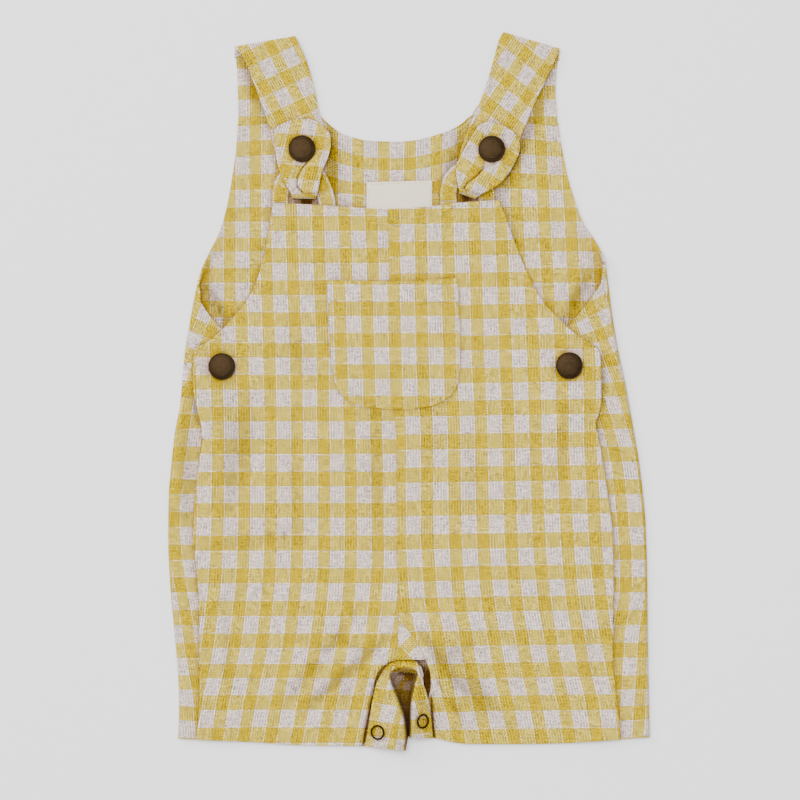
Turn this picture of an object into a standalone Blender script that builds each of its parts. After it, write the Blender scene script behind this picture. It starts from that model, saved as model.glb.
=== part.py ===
# Baby's short bib dungarees, laid flat on their back. The back panel wraps round both sides
# to the front, the straps are folded over the shoulders and snapped on themselves through
# the bib's loops, and the inseam is closed with its placket band.
# +Z is up from the surface, +Y towards the straps. Metres.

import math

import bpy
import numpy as np

MM = 0.001

# Cloth walls and the air between them.
CLOTH = 1.1 * MM              # panels, with their turned edges
STRIP = 1.0 * MM              # straps, loops, placket band and label
SEAM = 0.3 * MM               # between two pieces at a seam
LOFT = 0.55 * MM              # air under the front where nothing lies beneath it
LAY = 0.45 * MM               # air between a piece and the panel that it lies on

# Folded sides.
FOLD_RADIUS = 1.3 * MM        # middle of the wall, round each side fold
FOLD_WIDTH = math.pi * FOLD_RADIUS
WING_LEAST = 3.0 * MM         # the strip beside an armhole edge, where no wing is left
WING_SETTLE = 0.75 * MM       # how far the wing sinks towards its inner edge
SETTLE_WIDTH = 14.0 * MM

# Front.
SIDE_LIFT = 1.85 * MM         # the front rises this far over the wings
SIDE_LIFT_WIDTH = 25.0 * MM
EDGE_LIFT = 0.75 * MM         # and a little more beside the fold
BIB_LIFT = 1.2 * MM           # and over the loops' sewn ends
CROTCH_LIFT = 4.6 * MM        # over the rolled placket band
CROTCH = (-3.0 * MM, -150.0 * MM)
CROTCH_SPREAD = (26.0 * MM, 20.0 * MM)

# Metal.
CAP_RADIUS = 7.5 * MM
CAP_HEIGHT = 2.5 * MM
RING_RADIUS = 3.75 * MM
RING_WIRE = 0.55 * MM
ON_CLOTH = 0.35 * MM          # under each metal piece

YELLOW = (0.80, 0.60, 0.10, 1.0)
STRAW = (0.84, 0.73, 0.38, 1.0)
IVORY = (0.84, 0.79, 0.72, 1.0)
BRASS = (0.11, 0.07, 0.04, 1.0)


def table(columns, rows):
    """A table with named columns, given in millimetres and, for names ending in deg or share, as is."""
    values = np.array(rows, dtype=float)
    return {name: values[:, place] * (1 if name.endswith(("deg", "share")) else MM)
            for place, name in enumerate(columns.split())}


# Side of the back panel: where it folds, how far its wing reaches inward on top of itself, and
# how far round the fold it has come. Above the armhole's foot there is no wing.
LEFT_SIDE = table("height fold wing curl_deg", [
    (-202, -128.9, -112.0, 180),
    (-178, -128.0, -110.4, 180),
    (-160, -128.5, -110.4, 180),
    (-133, -130.8, -110.8, 180),
    (-108, -133.0, -111.6, 180),
    (-84, -134.1, -113.8, 180),
    (-60, -133.9, -113.2, 180),
    (-41, -132.4, -111.4, 180),
    (-22, -130.2, -104.0, 180),
    (-7, -127.4, -95.0, 180),
    (18, -125.2, -94.0, 180),
    (30, -123.6, -99.0, 180),
    (37, -122.4, -106.4, 180),
    (43, -121.3, -111.4, 174),
    (48, -120.4, -114.6, 162),
    (53, -119.4, -117.4, 140),
    (58, -118.3, -119.0, 108),
    (63, -117.1, -118.0, 76),
    (69, -115.4, -117.0, 48),
    (78, -111.5, -112.0, 24),
    (90, -105.8, -106.0, 11),
    (102, -102.2, -102.0, 7),
    (119, -98.8, -99.0, 5),
    (139, -96.2, -96.0, 2),
    (155, -95.5, -95.5, 0),
    (172, -95.7, -95.7, 0),
    (196, -97.4, -97.4, 0),
])
RIGHT_SIDE = table("height fold wing curl_deg", [
    (-202, 134.8, 112.0, 180),
    (-172, 134.1, 109.4, 180),
    (-139, 133.6, 108.0, 180),
    (-103, 133.2, 108.4, 180),
    (-72, 132.2, 107.4, 180),
    (-57, 130.8, 105.0, 180),
    (-38, 128.5, 101.0, 180),
    (-17, 124.9, 88.0, 180),
    (6, 120.7, 81.0, 180),
    (22, 117.2, 81.0, 180),
    (30, 115.8, 84.6, 180),
    (40, 114.1, 92.4, 180),
    (48, 113.0, 98.8, 177),
    (54, 112.2, 103.2, 168),
    (60, 111.4, 107.0, 150),
    (66, 110.7, 109.4, 122),
    (72, 109.6, 110.0, 88),
    (78, 107.6, 109.0, 56),
    (85, 104.0, 105.0, 30),
    (94, 98.2, 98.0, 14),
    (106, 93.4, 93.4, 8),
    (119, 89.3, 89.3, 5),
    (139, 85.1, 85.1, 2),
    (152, 83.4, 83.4, 0),
    (168, 82.3, 82.3, 0),
    (196, 84.6, 84.6, 0),
])

# Inner edges of the strap roots, above the neckline's corners.
LEFT_ROOT = table("height inner", [
    (100, -46.0), (140, -47.4), (154, -49.6), (165, -57.0), (180, -61.2), (196, -63.2)])
RIGHT_ROOT = table("height inner", [
    (100, 31.0), (145, 33.0), (155, 35.4), (165, 42.0), (176, 46.6), (188, 50.6), (200, 53.2)])
NECKLINE = table("across height", [
    (-98, 150.0), (-62, 153.0), (-49.6, 154.0), (-44, 149.5), (-38.9, 145.8), (-32.2, 143.0),
    (-21.6, 140.8), (-4.8, 140.3), (3.6, 141.1), (17.1, 144.6), (23.8, 147.0), (30.5, 151.0),
    (35.4, 155.0), (48, 154.0), (86, 150.0)])
SHOULDER_LEFT = table("across height", [(-97.4, 187.1), (-62.4, 192.9)])
SHOULDER_RIGHT = table("across height", [(51.4, 195.0), (84.4, 185.4)])

# The slit between the legs, from the hem up to the crotch.
SLIT = table("height across", [
    (-202, -1.6), (-192, -0.6), (-178, 0.3), (-169, 1.5), (-164.6, 2.4), (-158, 3.6), (-120, -2.0)])
SLIT_TOP = -158.0 * MM
SLIT_WIDTH = 0.9 * MM
HEM = table("across height", [
    (-135, -193.6), (-118, -194.6), (-89, -196.0), (-61, -197.7), (-27, -198.4), (-12, -199.6),
    (-2.5, -201.0), (-0.8, -200.8), (-0.4, -193.0), (14, -193.8), (24, -196.0), (34, -197.1),
    (62, -197.2), (85, -196.8), (107, -195.4), (135, -193.2)])
HEM_BASE = -196.0 * MM
LEG_TOP = -150.0 * MM

# Outer edges of the front: armhole, then placket, then side seam.
LEFT_FRONT = table("height edge", [
    (-202, -118.8), (-167, -116.8), (-139, -116.8), (-116, -117.0), (-106, -118.0), (-91, -119.2),
    (-84, -120.4), (-64, -119.6), (-43, -117.7), (-32, -115.9), (-24, -115.2), (-20, -115.6),
    (-13, -117.2), (-6, -118.8), (2, -120.3), (20, -120.3), (23.4, -119.9), (24.6, -118.4),
    (26, -116.0), (28, -112.3), (34.4, -104.6), (42.2, -97.5), (51.1, -90.4), (62.7, -84.7),
    (76.7, -80.9), (89.6, -78.1), (99.1, -76.7), (106, -75.0)])
RIGHT_FRONT = table("height edge", [
    (-202, 119.2), (-193, 118.4), (-167, 115.8), (-151, 114.2), (-130, 114.3), (-103, 114.7),
    (-81, 114.2), (-54, 110.9), (-34, 107.8), (-25, 106.1), (-20, 104.8), (-17, 104.6),
    (-12, 106.4), (-5, 107.8), (8, 107.8), (19, 107.4), (22.6, 106.6), (24.6, 105.2),
    (29.1, 98.1), (35.6, 89.5), (51.7, 74.5), (67.5, 66.1), (81.8, 60.2), (95.2, 54.6),
    (103.6, 51.2), (108, 49.4)])
BIB_TOP = table("across height", [
    (-76, 105.7), (-66, 105.5), (-40, 103.9), (-11.5, 102.5), (17.6, 104.6), (27.7, 106.0), (51, 107.5)])
BIB_TOP_BASE = 105.0 * MM
CENTRE_SEAM = table("height across", [
    (-150, -7.0), (-144, -5.9), (-116, -5.6), (-94, -6.4), (-32, -6.7), (-10, -8.1), (40, -9.8),
    (80, -11.2), (108, -11.5)])

# Inseam edges of the front. Down the legs they run on under the placket band.
LEFT_INSEAM = table("height across", [
    (-202, -18.0), (-182, -17.0), (-172, -18.4), (-164, -19.6), (-160, -18.8), (-156, -16.9),
    (-152.6, -13.4), (-150.6, -9.0), (-149.8, -7.2)])
RIGHT_INSEAM = table("height across", [
    (-202, 9.0), (-182, 9.4), (-172, 11.2), (-165, 12.7), (-158, 12.3), (-152, 10.4), (-148.6, 9.3)])
GUSSET_SIDE = table("height across", [(-148.6, 9.3), (-138.0, 3.2), (-128.0, -5.3)])
GUSSET_TOP = -129.0 * MM
GUSSET_FOOT = -149.6 * MM

# Broad soft folds of the front: a crest from one end to the other, its half width and height.
FRONT_FOLDS = table("from_x from_y to_x to_y half_width rise", [
    (-19, -146, -50, -124, 7.0, 1.2),
    (-32, -158, -66, -163, 6.5, 1.1),
    (14, -143, 46, -122, 7.0, 1.2),
    (21, -165, 34, -182, 5.0, 1.7),
    (-108, -2, -66, -22, 9.0, 0.8),
    (92, -4, 52, -28, 9.0, 0.9),
    (-86, -60, -70, -132, 10.0, 0.7),
    (84, -70, 72, -140, 10.0, 0.8),
])

# Chest pocket, a patch with round lower corners.
POCKET_TOP = table("across height", [(-45.4, 62.7), (-9, 62.0), (27.2, 63.8)])
POCKET = table("height left right", [
    (63, -45.5, 27.1), (48, -45.0, 28.2), (30, -44.2, 28.9), (15, -42.9, 28.8), (6, -41.2, 27.6),
    (1, -39.0, 25.6), (-3, -35.6, 22.2), (-6, -31.2, 17.4), (-8, -24.4, 11.0), (-9.3, -14.0, 1.6)])

# Placket band: sections from its lip over the front, across its crest, down its flank to its
# root on the back, going up the left leg, round the crotch and down the right leg.
PLACKET = table(
    "lip_x lip_y lip_z crest_x crest_y crest_z flank_x flank_y flank_z root_x root_y root_z", [
        (-26.4, -198.2, 4.0, -4.2, -199.9, 9.4, -2.6, -200.5, 5.0, -2.3, -200.5, 2.0),
        (-24.4, -189.0, 4.1, -3.6, -190.0, 12.8, -1.6, -190.5, 6.0, -1.4, -190.5, 2.0),
        (-23.0, -179.0, 4.5, -5.2, -179.5, 12.6, -2.8, -180.0, 5.0, -0.7, -180.0, 2.0),
        (-21.8, -170.5, 5.3, -8.2, -170.5, 11.8, -5.8, -170.5, 4.4, 0.4, -170.5, 2.0),
        (-19.6, -163.0, 6.4, -10.8, -163.0, 10.8, -8.8, -163.0, 4.4, 1.2, -163.0, 2.0),
        (-15.2, -156.6, 5.8, -11.2, -157.2, 8.8, -8.8, -160.0, 4.8, -1.6, -160.2, 2.0),
        (-9.6, -150.9, 4.6, -8.0, -153.8, 7.0, -6.0, -157.2, 5.0, -4.8, -155.6, 2.0),
        (-3.0, -149.8, 4.5, -3.0, -153.0, 6.6, -2.8, -156.6, 4.8, -2.6, -154.8, 2.0),
        (3.0, -150.6, 4.6, 2.8, -153.6, 7.2, 2.2, -157.0, 5.2, 1.6, -155.4, 2.0),
        (7.2, -155.4, 6.0, 6.0, -157.0, 9.2, 4.8, -158.6, 6.0, 4.6, -157.8, 2.0),
        (7.8, -162.6, 7.4, 4.4, -163.2, 11.0, 3.4, -163.6, 6.2, 3.4, -163.4, 2.0),
        (10.8, -171.0, 6.0, 3.0, -171.0, 12.4, 1.9, -171.0, 6.4, 2.0, -171.0, 2.0),
        (13.0, -182.0, 4.6, 2.8, -182.0, 12.8, 1.0, -182.0, 6.6, 0.9, -182.0, 2.0),
        (14.4, -193.7, 4.1, 2.2, -192.9, 10.0, 0.5, -192.6, 5.8, 0.3, -192.6, 2.0),
    ])
PLACKET_ROWS = 30
PLACKET_COLUMNS = 9
LEFT_RING = {"row_share": 0.072, "column_share": 0.135}
RIGHT_RING = {"row_share": 0.933, "column_share": 0.200}

# Straps: lines across them. Root on the surface, over the shoulder and down the front, then
# the end turned up through the loop as a tab, with a pleat at a share of the tab's width.
STRAP_LINE = "left_x left_y right_x right_y height"
TAB_LINE = STRAP_LINE + " pleat_share rise"
STRAP_LEFT = {
    "root": table(STRAP_LINE, [
        (-97.3, 187.4, -62.6, 193.2, 0.5),
        (-97.2, 190.0, -63.0, 195.8, 0.5)]),
    "shoulder": ((-97.0, 193.2), (-63.4, 199.0)),
    "front": table(STRAP_LINE, [
        (-93.0, 188.8, -61.2, 194.0, 3.2),
        (-89.9, 182.3, -57.6, 186.0, 2.7),
        (-86.3, 173.0, -54.6, 176.0, 2.3),
        (-83.0, 164.0, -52.3, 166.5, 2.1),
        (-80.2, 156.0, -50.6, 157.5, 2.0),
        (-77.6, 147.8, -47.6, 149.0, 1.95),
        (-75.6, 139.8, -46.0, 141.0, 1.9),
        (-73.6, 132.0, -46.6, 133.0, 1.9),
        (-70.0, 124.5, -49.0, 125.0, 1.9),
        (-66.8, 118.0, -51.2, 118.3, 1.9),
        (-65.8, 113.0, -52.0, 113.1, 1.9)]),
    "turn": ((-65.0, 108.5), (-51.8, 108.5)),
    "tab": table(TAB_LINE, [
        (-65.9, 112.0, -50.9, 112.0, 4.9, 0.60, 1.2),
        (-67.6, 115.0, -50.3, 115.2, 5.0, 0.42, 1.8),
        (-70.0, 119.3, -49.4, 119.4, 5.0, 0.45, 1.9),
        (-72.2, 124.5, -48.0, 124.5, 4.9, 0.60, 1.5),
        (-73.5, 130.0, -45.8, 130.0, 4.8, 0.78, 0.8),
        (-74.2, 136.5, -44.0, 136.0, 4.5, 0.80, 0.0),
        (-74.6, 142.0, -43.8, 141.5, 4.2, 0.80, 0.0),
        (-74.6, 146.6, -44.8, 145.2, 4.0, 0.80, 0.0),
        (-71.5, 149.4, -48.0, 148.5, 3.8, 0.80, 0.0),
        (-66.0, 151.6, -52.0, 151.2, 3.7, 0.80, 0.0),
        (-62.0, 152.7, -55.5, 152.6, 3.6, 0.80, 0.0)]),
    "cap": (-59.6, 136.0),
}
STRAP_RIGHT = {
    "root": table(STRAP_LINE, [
        (51.7, 195.3, 84.0, 185.8, 0.5),
        (52.4, 197.8, 84.2, 188.4, 0.5)]),
    "shoulder": ((53.0, 201.2), (84.4, 192.0)),
    "front": table(STRAP_LINE, [
        (50.6, 196.4, 82.2, 187.0, 3.2),
        (48.4, 188.0, 79.6, 180.6, 2.7),
        (45.9, 179.0, 75.6, 172.5, 2.3),
        (43.0, 170.0, 71.6, 164.2, 2.1),
        (39.8, 161.5, 68.2, 156.5, 2.0),
        (36.2, 153.5, 64.8, 148.0, 1.95),
        (32.8, 145.0, 61.4, 140.0, 1.9),
        (29.6, 136.0, 57.5, 132.0, 1.9),
        (28.0, 128.0, 52.5, 125.5, 1.9),
        (28.2, 121.0, 45.0, 119.5, 1.9),
        (28.4, 116.0, 38.0, 114.4, 1.9)]),
    "turn": ((28.4, 111.6), (37.8, 108.2)),
    "tab": table(TAB_LINE, [
        (28.0, 115.0, 40.8, 110.9, 4.9, 0.45, 1.2),
        (27.3, 119.0, 45.6, 113.2, 5.0, 0.42, 1.8),
        (26.9, 123.5, 51.0, 116.8, 5.0, 0.44, 1.8),
        (27.6, 128.5, 55.4, 122.0, 4.9, 0.50, 1.1),
        (30.2, 133.5, 58.8, 127.8, 4.8, 0.50, 0.0),
        (33.6, 139.2, 61.4, 133.2, 4.5, 0.50, 0.0),
        (36.6, 144.6, 62.2, 138.6, 4.3, 0.50, 0.0),
        (39.2, 148.4, 60.6, 142.4, 4.1, 0.50, 0.0),
        (42.6, 150.4, 57.0, 146.6, 3.9, 0.50, 0.0),
        (46.0, 151.0, 52.6, 149.2, 3.8, 0.50, 0.0)]),
    "cap": (46.5, 135.8),
}
STRAP_COLUMNS = 10
PLEAT_HALF_SHARE = 0.09
BEND_TURNS_DEG = (-60, -20, 20, 60)

# Bib loops: the strip's middle, from one sewn end to the other.
LOOP_WIDTH = 9.4 * MM
LOOP_LEFT = table("across along height", [
    (-71.8, 98.5, 1.95), (-71.9, 105.5, 1.95), (-71.6, 112.0, 2.7), (-69.0, 119.0, 3.4),
    (-64.4, 123.9, 3.5), (-58.0, 125.4, 3.5), (-52.2, 122.4, 3.5), (-48.8, 116.6, 3.2),
    (-46.6, 110.6, 2.5), (-45.5, 105.0, 1.95), (-45.2, 98.0, 1.95)])
LOOP_RIGHT = table("across along height", [
    (22.6, 99.0, 1.95), (22.5, 106.0, 1.95), (22.4, 112.5, 2.7), (24.8, 119.6, 3.4),
    (30.0, 124.2, 3.5), (36.0, 123.8, 3.5), (41.0, 119.6, 3.4), (43.4, 113.2, 2.8),
    (43.9, 107.0, 1.95), (43.9, 100.0, 1.95)])
LOOP_ROWS = 16

LABEL = {"left": -23.5, "right": 13.2, "foot": 98.0, "top_left": 117.6, "top_right": 118.6}
SIDE_CAPS = {"side_snap_left": (-104.4, 14.3), "side_snap_right": (89.9, 14.8)}


# Rows and columns of the panels' walls.
BACK_ROWS = np.array([
    -196, -188, -178, -168, -162, -158, -151, -138, -122, -105, -88, -72, -56, -42, -30, -20, -8, 6,
    18, 26, 32, 37, 42, 46, 50, 54, 58, 62, 66, 70, 74, 79, 85, 93, 104, 117, 131, 147]) * MM
NECK_ROW = 147.0 * MM
ROOT_SHARES = (0.3, 0.55, 0.8, 1.0)
ROOT_CELLS = 4
NECK_CELLS = 5
FRONT_ROWS = np.array([
    -196, -190, -182, -174, -168, -163, -159, -156, -153, -150.7, -149, -146, -141, -135, -128, -119,
    -108, -96, -84, -72, -60, -48, -38, -30, -24, -19, -13, -6, 2, 10, 18, 22, 23.6, 24.6, 26, 28, 31,
    35, 40, 46, 54, 63, 72, 81, 89, 97, 105]) * MM
FRONT_COLUMNS = (0, 0.05, 0.12, 0.22, 0.34, 0.47, 0.60, 0.72, 0.82, 0.92, 1)
FRONT_COLUMNS_MIRRORED = tuple(1 - share for share in reversed(FRONT_COLUMNS))


def smooth_step(low, high, value):
    share = np.clip((value - low) / (high - low), 0, 1)
    return share * share * (3 - 2 * share)


def along(shape, column, at, by="height"):
    """Smooth curve through one column of a table, with no overshoot between its rows."""
    order = np.argsort(shape[by])
    knots = shape[by][order]
    values = shape[column][order]
    at = np.clip(at, knots[0], knots[-1])
    step = np.diff(knots)
    slope = np.diff(values) / step
    bend = np.concatenate(([slope[0]], np.zeros(len(knots) - 2), [slope[-1]]))
    product = slope[:-1] * slope[1:]
    turning = product > 0
    bend[1:-1][turning] = 2 * product[turning] / (slope[:-1] + slope[1:])[turning]
    cell = np.clip(np.searchsorted(knots, at, side="right") - 1, 0, len(step) - 1)
    t = (at - knots[cell]) / step[cell]
    return (values[cell] * (1 + 2 * t) * (1 - t) ** 2 + values[cell + 1] * t * t * (3 - 2 * t)
            + step[cell] * (bend[cell] * t * (1 - t) ** 2 - bend[cell + 1] * t * t * (1 - t)))


def spline(points, count):
    """Smooth curve through rows of points, read at even steps of its parameter."""
    last = len(points) - 1
    place = np.linspace(0, last, count)
    cell = np.minimum(place.astype(int), last - 1)
    t = (place - cell).reshape((-1,) + (1,) * (points.ndim - 1))
    before = points[np.maximum(cell - 1, 0)]
    start = points[cell]
    end = points[cell + 1]
    after = points[np.minimum(cell + 2, last)]
    return 0.5 * (2 * start + (end - before) * t + (2 * before - 5 * start + 4 * end - after) * t ** 2
                  + (3 * start - before - 3 * end + after) * t ** 3)


def finish(name, colour, roughness, metallic=0.0):
    material = bpy.data.materials.new(name)
    material.use_nodes = True
    material.diffuse_color = colour
    surface = material.node_tree.nodes["Principled BSDF"]
    surface.inputs["Base Color"].default_value = colour
    surface.inputs["Roughness"].default_value = roughness
    surface.inputs["Metallic"].default_value = metallic
    return material


def add_solid(name, points, faces, material, sharp_deg=40):
    mesh = bpy.data.meshes.new(name)
    mesh.from_pydata([tuple(point) for point in points], [], faces)
    mesh.validate()
    mesh.materials.append(material)
    mesh.shade_smooth()
    mesh.set_sharp_from_angle(angle=math.radians(sharp_deg))
    piece = bpy.data.objects.new(name, mesh)
    bpy.context.scene.collection.objects.link(piece)
    return piece


def surface_normals(middle, present):
    """Unit normals at the points of a grid, from the cells that are present."""
    facing = np.cross(middle[1:, 1:] - middle[:-1, :-1], middle[1:, :-1] - middle[:-1, 1:])
    facing[~present] = 0
    normals = np.zeros_like(middle)
    for row_shift in (0, 1):
        for column_shift in (0, 1):
            normals[row_shift:row_shift + facing.shape[0], column_shift:column_shift + facing.shape[1]] += facing
    length = np.linalg.norm(normals, axis=2, keepdims=True)
    return normals / np.maximum(length, 1e-12)


def add_cloth(name, middle, wall, material, present=None):
    """A wall of even thickness on both sides of a grid of points. Absent cells are left open."""
    rows, columns = middle.shape[:2]
    if present is None:
        present = np.ones((rows - 1, columns - 1), dtype=bool)
    offset = surface_normals(middle, present) * wall / 2
    sides = np.stack((middle + offset, middle - offset))
    sides[..., 2] = np.maximum(sides[..., 2], 0)

    numbers = -np.ones((2, rows, columns), dtype=int)
    points = []

    def number(side, corner):
        row, column = corner
        if numbers[side, row, column] < 0:
            numbers[side, row, column] = len(points)
            points.append(sides[side, row, column])
        return int(numbers[side, row, column])

    def is_present(row, column):
        return 0 <= row < rows - 1 and 0 <= column < columns - 1 and present[row, column]

    faces = []
    for row in range(rows - 1):
        for column in range(columns - 1):
            if not present[row, column]:
                continue
            corners = [(row, column), (row, column + 1), (row + 1, column + 1), (row + 1, column)]
            neighbours = [(row - 1, column), (row, column + 1), (row + 1, column), (row, column - 1)]
            faces.append([number(0, corner) for corner in corners])
            faces.append([number(1, corner) for corner in reversed(corners)])
            for side, neighbour in enumerate(neighbours):
                if is_present(*neighbour):
                    continue
                start = corners[side]
                end = corners[(side + 1) % 4]
                faces.append([number(0, end), number(0, start), number(1, start), number(1, end)])
    return add_solid(name, points, faces, material)


def side_section(side, outward, height):
    """The back's cross-section at one side, from the wing's inner edge round to the floor."""
    fold = along(side, "fold", height)
    wing = along(side, "wing", height)
    turn = math.radians(max(float(along(side, "curl_deg", height)), 0.5))
    radius = FOLD_WIDTH / turn
    reach = radius if turn >= math.pi / 2 else radius * math.sin(turn) + WING_LEAST * math.cos(turn)
    floor_end = fold - outward * reach
    arc = [(floor_end + outward * radius * math.sin(turn * share), radius * (1 - math.cos(turn * share)))
           for share in (0, 0.25, 0.5, 0.75, 1)]
    top_x, top_z = arc[-1]
    length = WING_LEAST
    if turn > math.pi / 2:
        length = max(WING_LEAST, outward * (top_x - wing))
    wing_points = []
    for share in (0.35, 0.7, 1.0):
        run = length * share
        sink = WING_SETTLE * smooth_step(1 * MM, SETTLE_WIDTH, run) * smooth_step(150, 178, math.degrees(turn))
        wing_points.append((top_x + outward * run * math.cos(turn), top_z + run * math.sin(turn) - sink))
    return (wing_points[::-1] + arc[::-1]), floor_end


def hem_shift(across, side_of_slit, height):
    """How far a row is moved up or down so that the lowest row follows the hem."""
    slit = along(SLIT, "across", HEM_BASE)
    if side_of_slit < 0:
        inner = np.minimum(across, slit - 1.2 * MM)
    else:
        inner = np.maximum(across, slit + 0.9 * MM)
    weight = 1 - smooth_step(HEM_BASE, LEG_TOP, height)
    return weight * (along(HEM, "height", inner, by="across") - HEM_BASE)


def root_row(top, side, root, shoulder, share):
    """A row of a strap root, part of the way from the neckline's row to the shoulder fold."""
    place = (top[:, 0] - top[0, 0]) / (top[-1, 0] - top[0, 0])
    across = top[:, 0]
    for _ in range(3):
        rise = along(shoulder, "height", across, by="across") - top[:, 1]
        upward = top[:, 1] + share * rise
        across = (1 - place) * along(side, "fold", upward) + place * along(root, "inner", upward)
    return np.stack((across, upward, np.full(len(top), CLOTH / 2)), axis=1)


def back_panel(material):
    rows = []
    for height in BACK_ROWS:
        left, left_floor = side_section(LEFT_SIDE, -1, height)
        right, right_floor = side_section(RIGHT_SIDE, 1, height)
        neck_left = along(LEFT_ROOT, "inner", height)
        neck_right = along(RIGHT_ROOT, "inner", height)
        slit = along(SLIT, "across", height)
        half_gap = SLIT_WIDTH / 2 + 3 * MM * smooth_step(SLIT_TOP, -100 * MM, height)
        floor = np.concatenate((
            np.linspace(left_floor, neck_left, ROOT_CELLS + 1)[1:],
            np.linspace(neck_left, slit - half_gap, NECK_CELLS + 1)[1:],
            np.linspace(slit + half_gap, neck_right, NECK_CELLS + 1),
            np.linspace(neck_right, right_floor, ROOT_CELLS + 1)[1:-1]))
        section = left + [(x, 0.0) for x in floor] + right[::-1]
        across, lift = np.array(section).T
        neck_weight = smooth_step(92 * MM, NECK_ROW, height)
        upward = height + neck_weight * (along(NECKLINE, "height", across, by="across") - NECK_ROW)
        upward = upward + np.where(across < slit, hem_shift(across, -1, height), hem_shift(across, 1, height))
        rows.append(np.stack((across, upward, CLOTH / 2 + lift), axis=1))

    block = len(left) + ROOT_CELLS
    columns = len(rows[0])
    top = rows[-1]
    for share in ROOT_SHARES:
        row = top.copy()
        row[:block] = root_row(top[:block], LEFT_SIDE, LEFT_ROOT, SHOULDER_LEFT, share)
        row[columns - block:] = root_row(top[columns - block:][::-1], RIGHT_SIDE, RIGHT_ROOT,
                                         SHOULDER_RIGHT, share)[::-1]
        rows.append(row)

    present = np.ones((len(rows) - 1, columns - 1), dtype=bool)
    legs = np.count_nonzero(BACK_ROWS <= SLIT_TOP) - 1
    present[:legs, block + NECK_CELLS - 1] = False
    present[len(BACK_ROWS) - 1:, block - 1:columns - block] = False
    return add_cloth("back", np.array(rows), CLOTH, material, present)


def front_height(across, upward):
    """Middle of the front's wall above the surface: over the wings, the loops and the crotch."""
    height = CLOTH * 1.5 + LOFT
    for side, outward in ((LEFT_SIDE, -1), (RIGHT_SIDE, 1)):
        inside_wing = outward * (along(side, "wing", upward) - across)
        inside_fold = outward * (along(side, "fold", upward) - across)
        height = height + SIDE_LIFT * (1 - smooth_step(3 * MM, 3 * MM + SIDE_LIFT_WIDTH, inside_wing))
        height = height + EDGE_LIFT * (1 - smooth_step(1 * MM, SETTLE_WIDTH, inside_fold))
    height = height + BIB_LIFT * smooth_step(86 * MM, 97 * MM, upward)
    height = height + CROTCH_LIFT * np.exp(-((across - CROTCH[0]) / CROTCH_SPREAD[0]) ** 2
                                           - ((upward - CROTCH[1]) / CROTCH_SPREAD[1]) ** 2)
    for from_x, from_y, to_x, to_y, half_width, rise in zip(*FRONT_FOLDS.values()):
        run_x = to_x - from_x
        run_y = to_y - from_y
        share = ((across - from_x) * run_x + (upward - from_y) * run_y) / (run_x ** 2 + run_y ** 2)
        share = np.clip(share, 0, 1)
        away = np.hypot(across - from_x - share * run_x, upward - from_y - share * run_y)
        height = height + rise * np.exp(-(away / half_width) ** 2)
    return height


def front_rows(heights, edges, columns, side_of_slit):
    """Rows of a front panel between two edges, with its top at the bib's and its foot at the hem."""
    rows = []
    for height in heights:
        outer, inner = edges(height)
        across = outer + (inner - outer) * np.array(columns)
        upward = np.full(len(across), height)
        upward += smooth_step(80 * MM, BIB_TOP_BASE, height) * (
            along(BIB_TOP, "height", across, by="across") - BIB_TOP_BASE)
        upward += hem_shift(across, side_of_slit, height)
        rows.append(np.stack((across, upward, front_height(across, upward)), axis=1))
    return np.array(rows)


def left_front_edges(height):
    if height > LEFT_INSEAM["height"][-1]:
        return along(LEFT_FRONT, "edge", height), along(CENTRE_SEAM, "across", height) - SEAM / 2
    return along(LEFT_FRONT, "edge", height), along(LEFT_INSEAM, "across", height)


def right_front_edges(height):
    if height > GUSSET_SIDE["height"][-1]:
        return along(CENTRE_SEAM, "across", height) + SEAM / 2, along(RIGHT_FRONT, "edge", height)
    if height > RIGHT_INSEAM["height"][-1]:
        return along(GUSSET_SIDE, "across", height) + SEAM, along(RIGHT_FRONT, "edge", height)
    return along(RIGHT_INSEAM, "across", height), along(RIGHT_FRONT, "edge", height)


def crotch_gusset(material):
    rows = []
    for height in np.linspace(GUSSET_FOOT, GUSSET_TOP, 6):
        left = along(CENTRE_SEAM, "across", height) + SEAM / 2
        right = along(GUSSET_SIDE, "across", height) - SEAM
        across = np.linspace(left, right, 4)
        upward = np.full(4, height)
        rows.append(np.stack((across, upward, front_height(across, upward)), axis=1))
    return add_cloth("crotch_gusset", np.array(rows), CLOTH, material)


def chest_pocket(material):
    rows = []
    for height in POCKET["height"][::-1]:
        across = np.linspace(along(POCKET, "left", height), along(POCKET, "right", height), 10)
        upward = height + smooth_step(40 * MM, 63 * MM, height) * (
            along(POCKET_TOP, "height", across, by="across") - 63 * MM)
        rows.append(np.stack((across, upward, front_height(across, upward) + CLOTH + LAY), axis=1))
    return add_cloth("chest_pocket", np.array(rows), CLOTH, material)


def neck_label(material):
    rows = []
    for share in np.linspace(0, 1, 4):
        across = np.linspace(LABEL["left"], LABEL["right"], 5) * MM
        top = np.linspace(LABEL["top_left"], LABEL["top_right"], 5) * MM
        upward = LABEL["foot"] * MM + share * (top - LABEL["foot"] * MM)
        rows.append(np.stack((across, upward, np.full(5, CLOTH + SEAM + STRIP / 2)), axis=1))
    return add_cloth("neck_label", np.array(rows), STRIP, material)


def strap_lines(leg):
    """The two ends of each line across one leg of a strap."""
    left = np.stack((leg["left_x"], leg["left_y"], leg["height"]), axis=1)
    right = np.stack((leg["right_x"], leg["right_y"], leg["height"]), axis=1)
    return list(zip(left, right))


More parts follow.
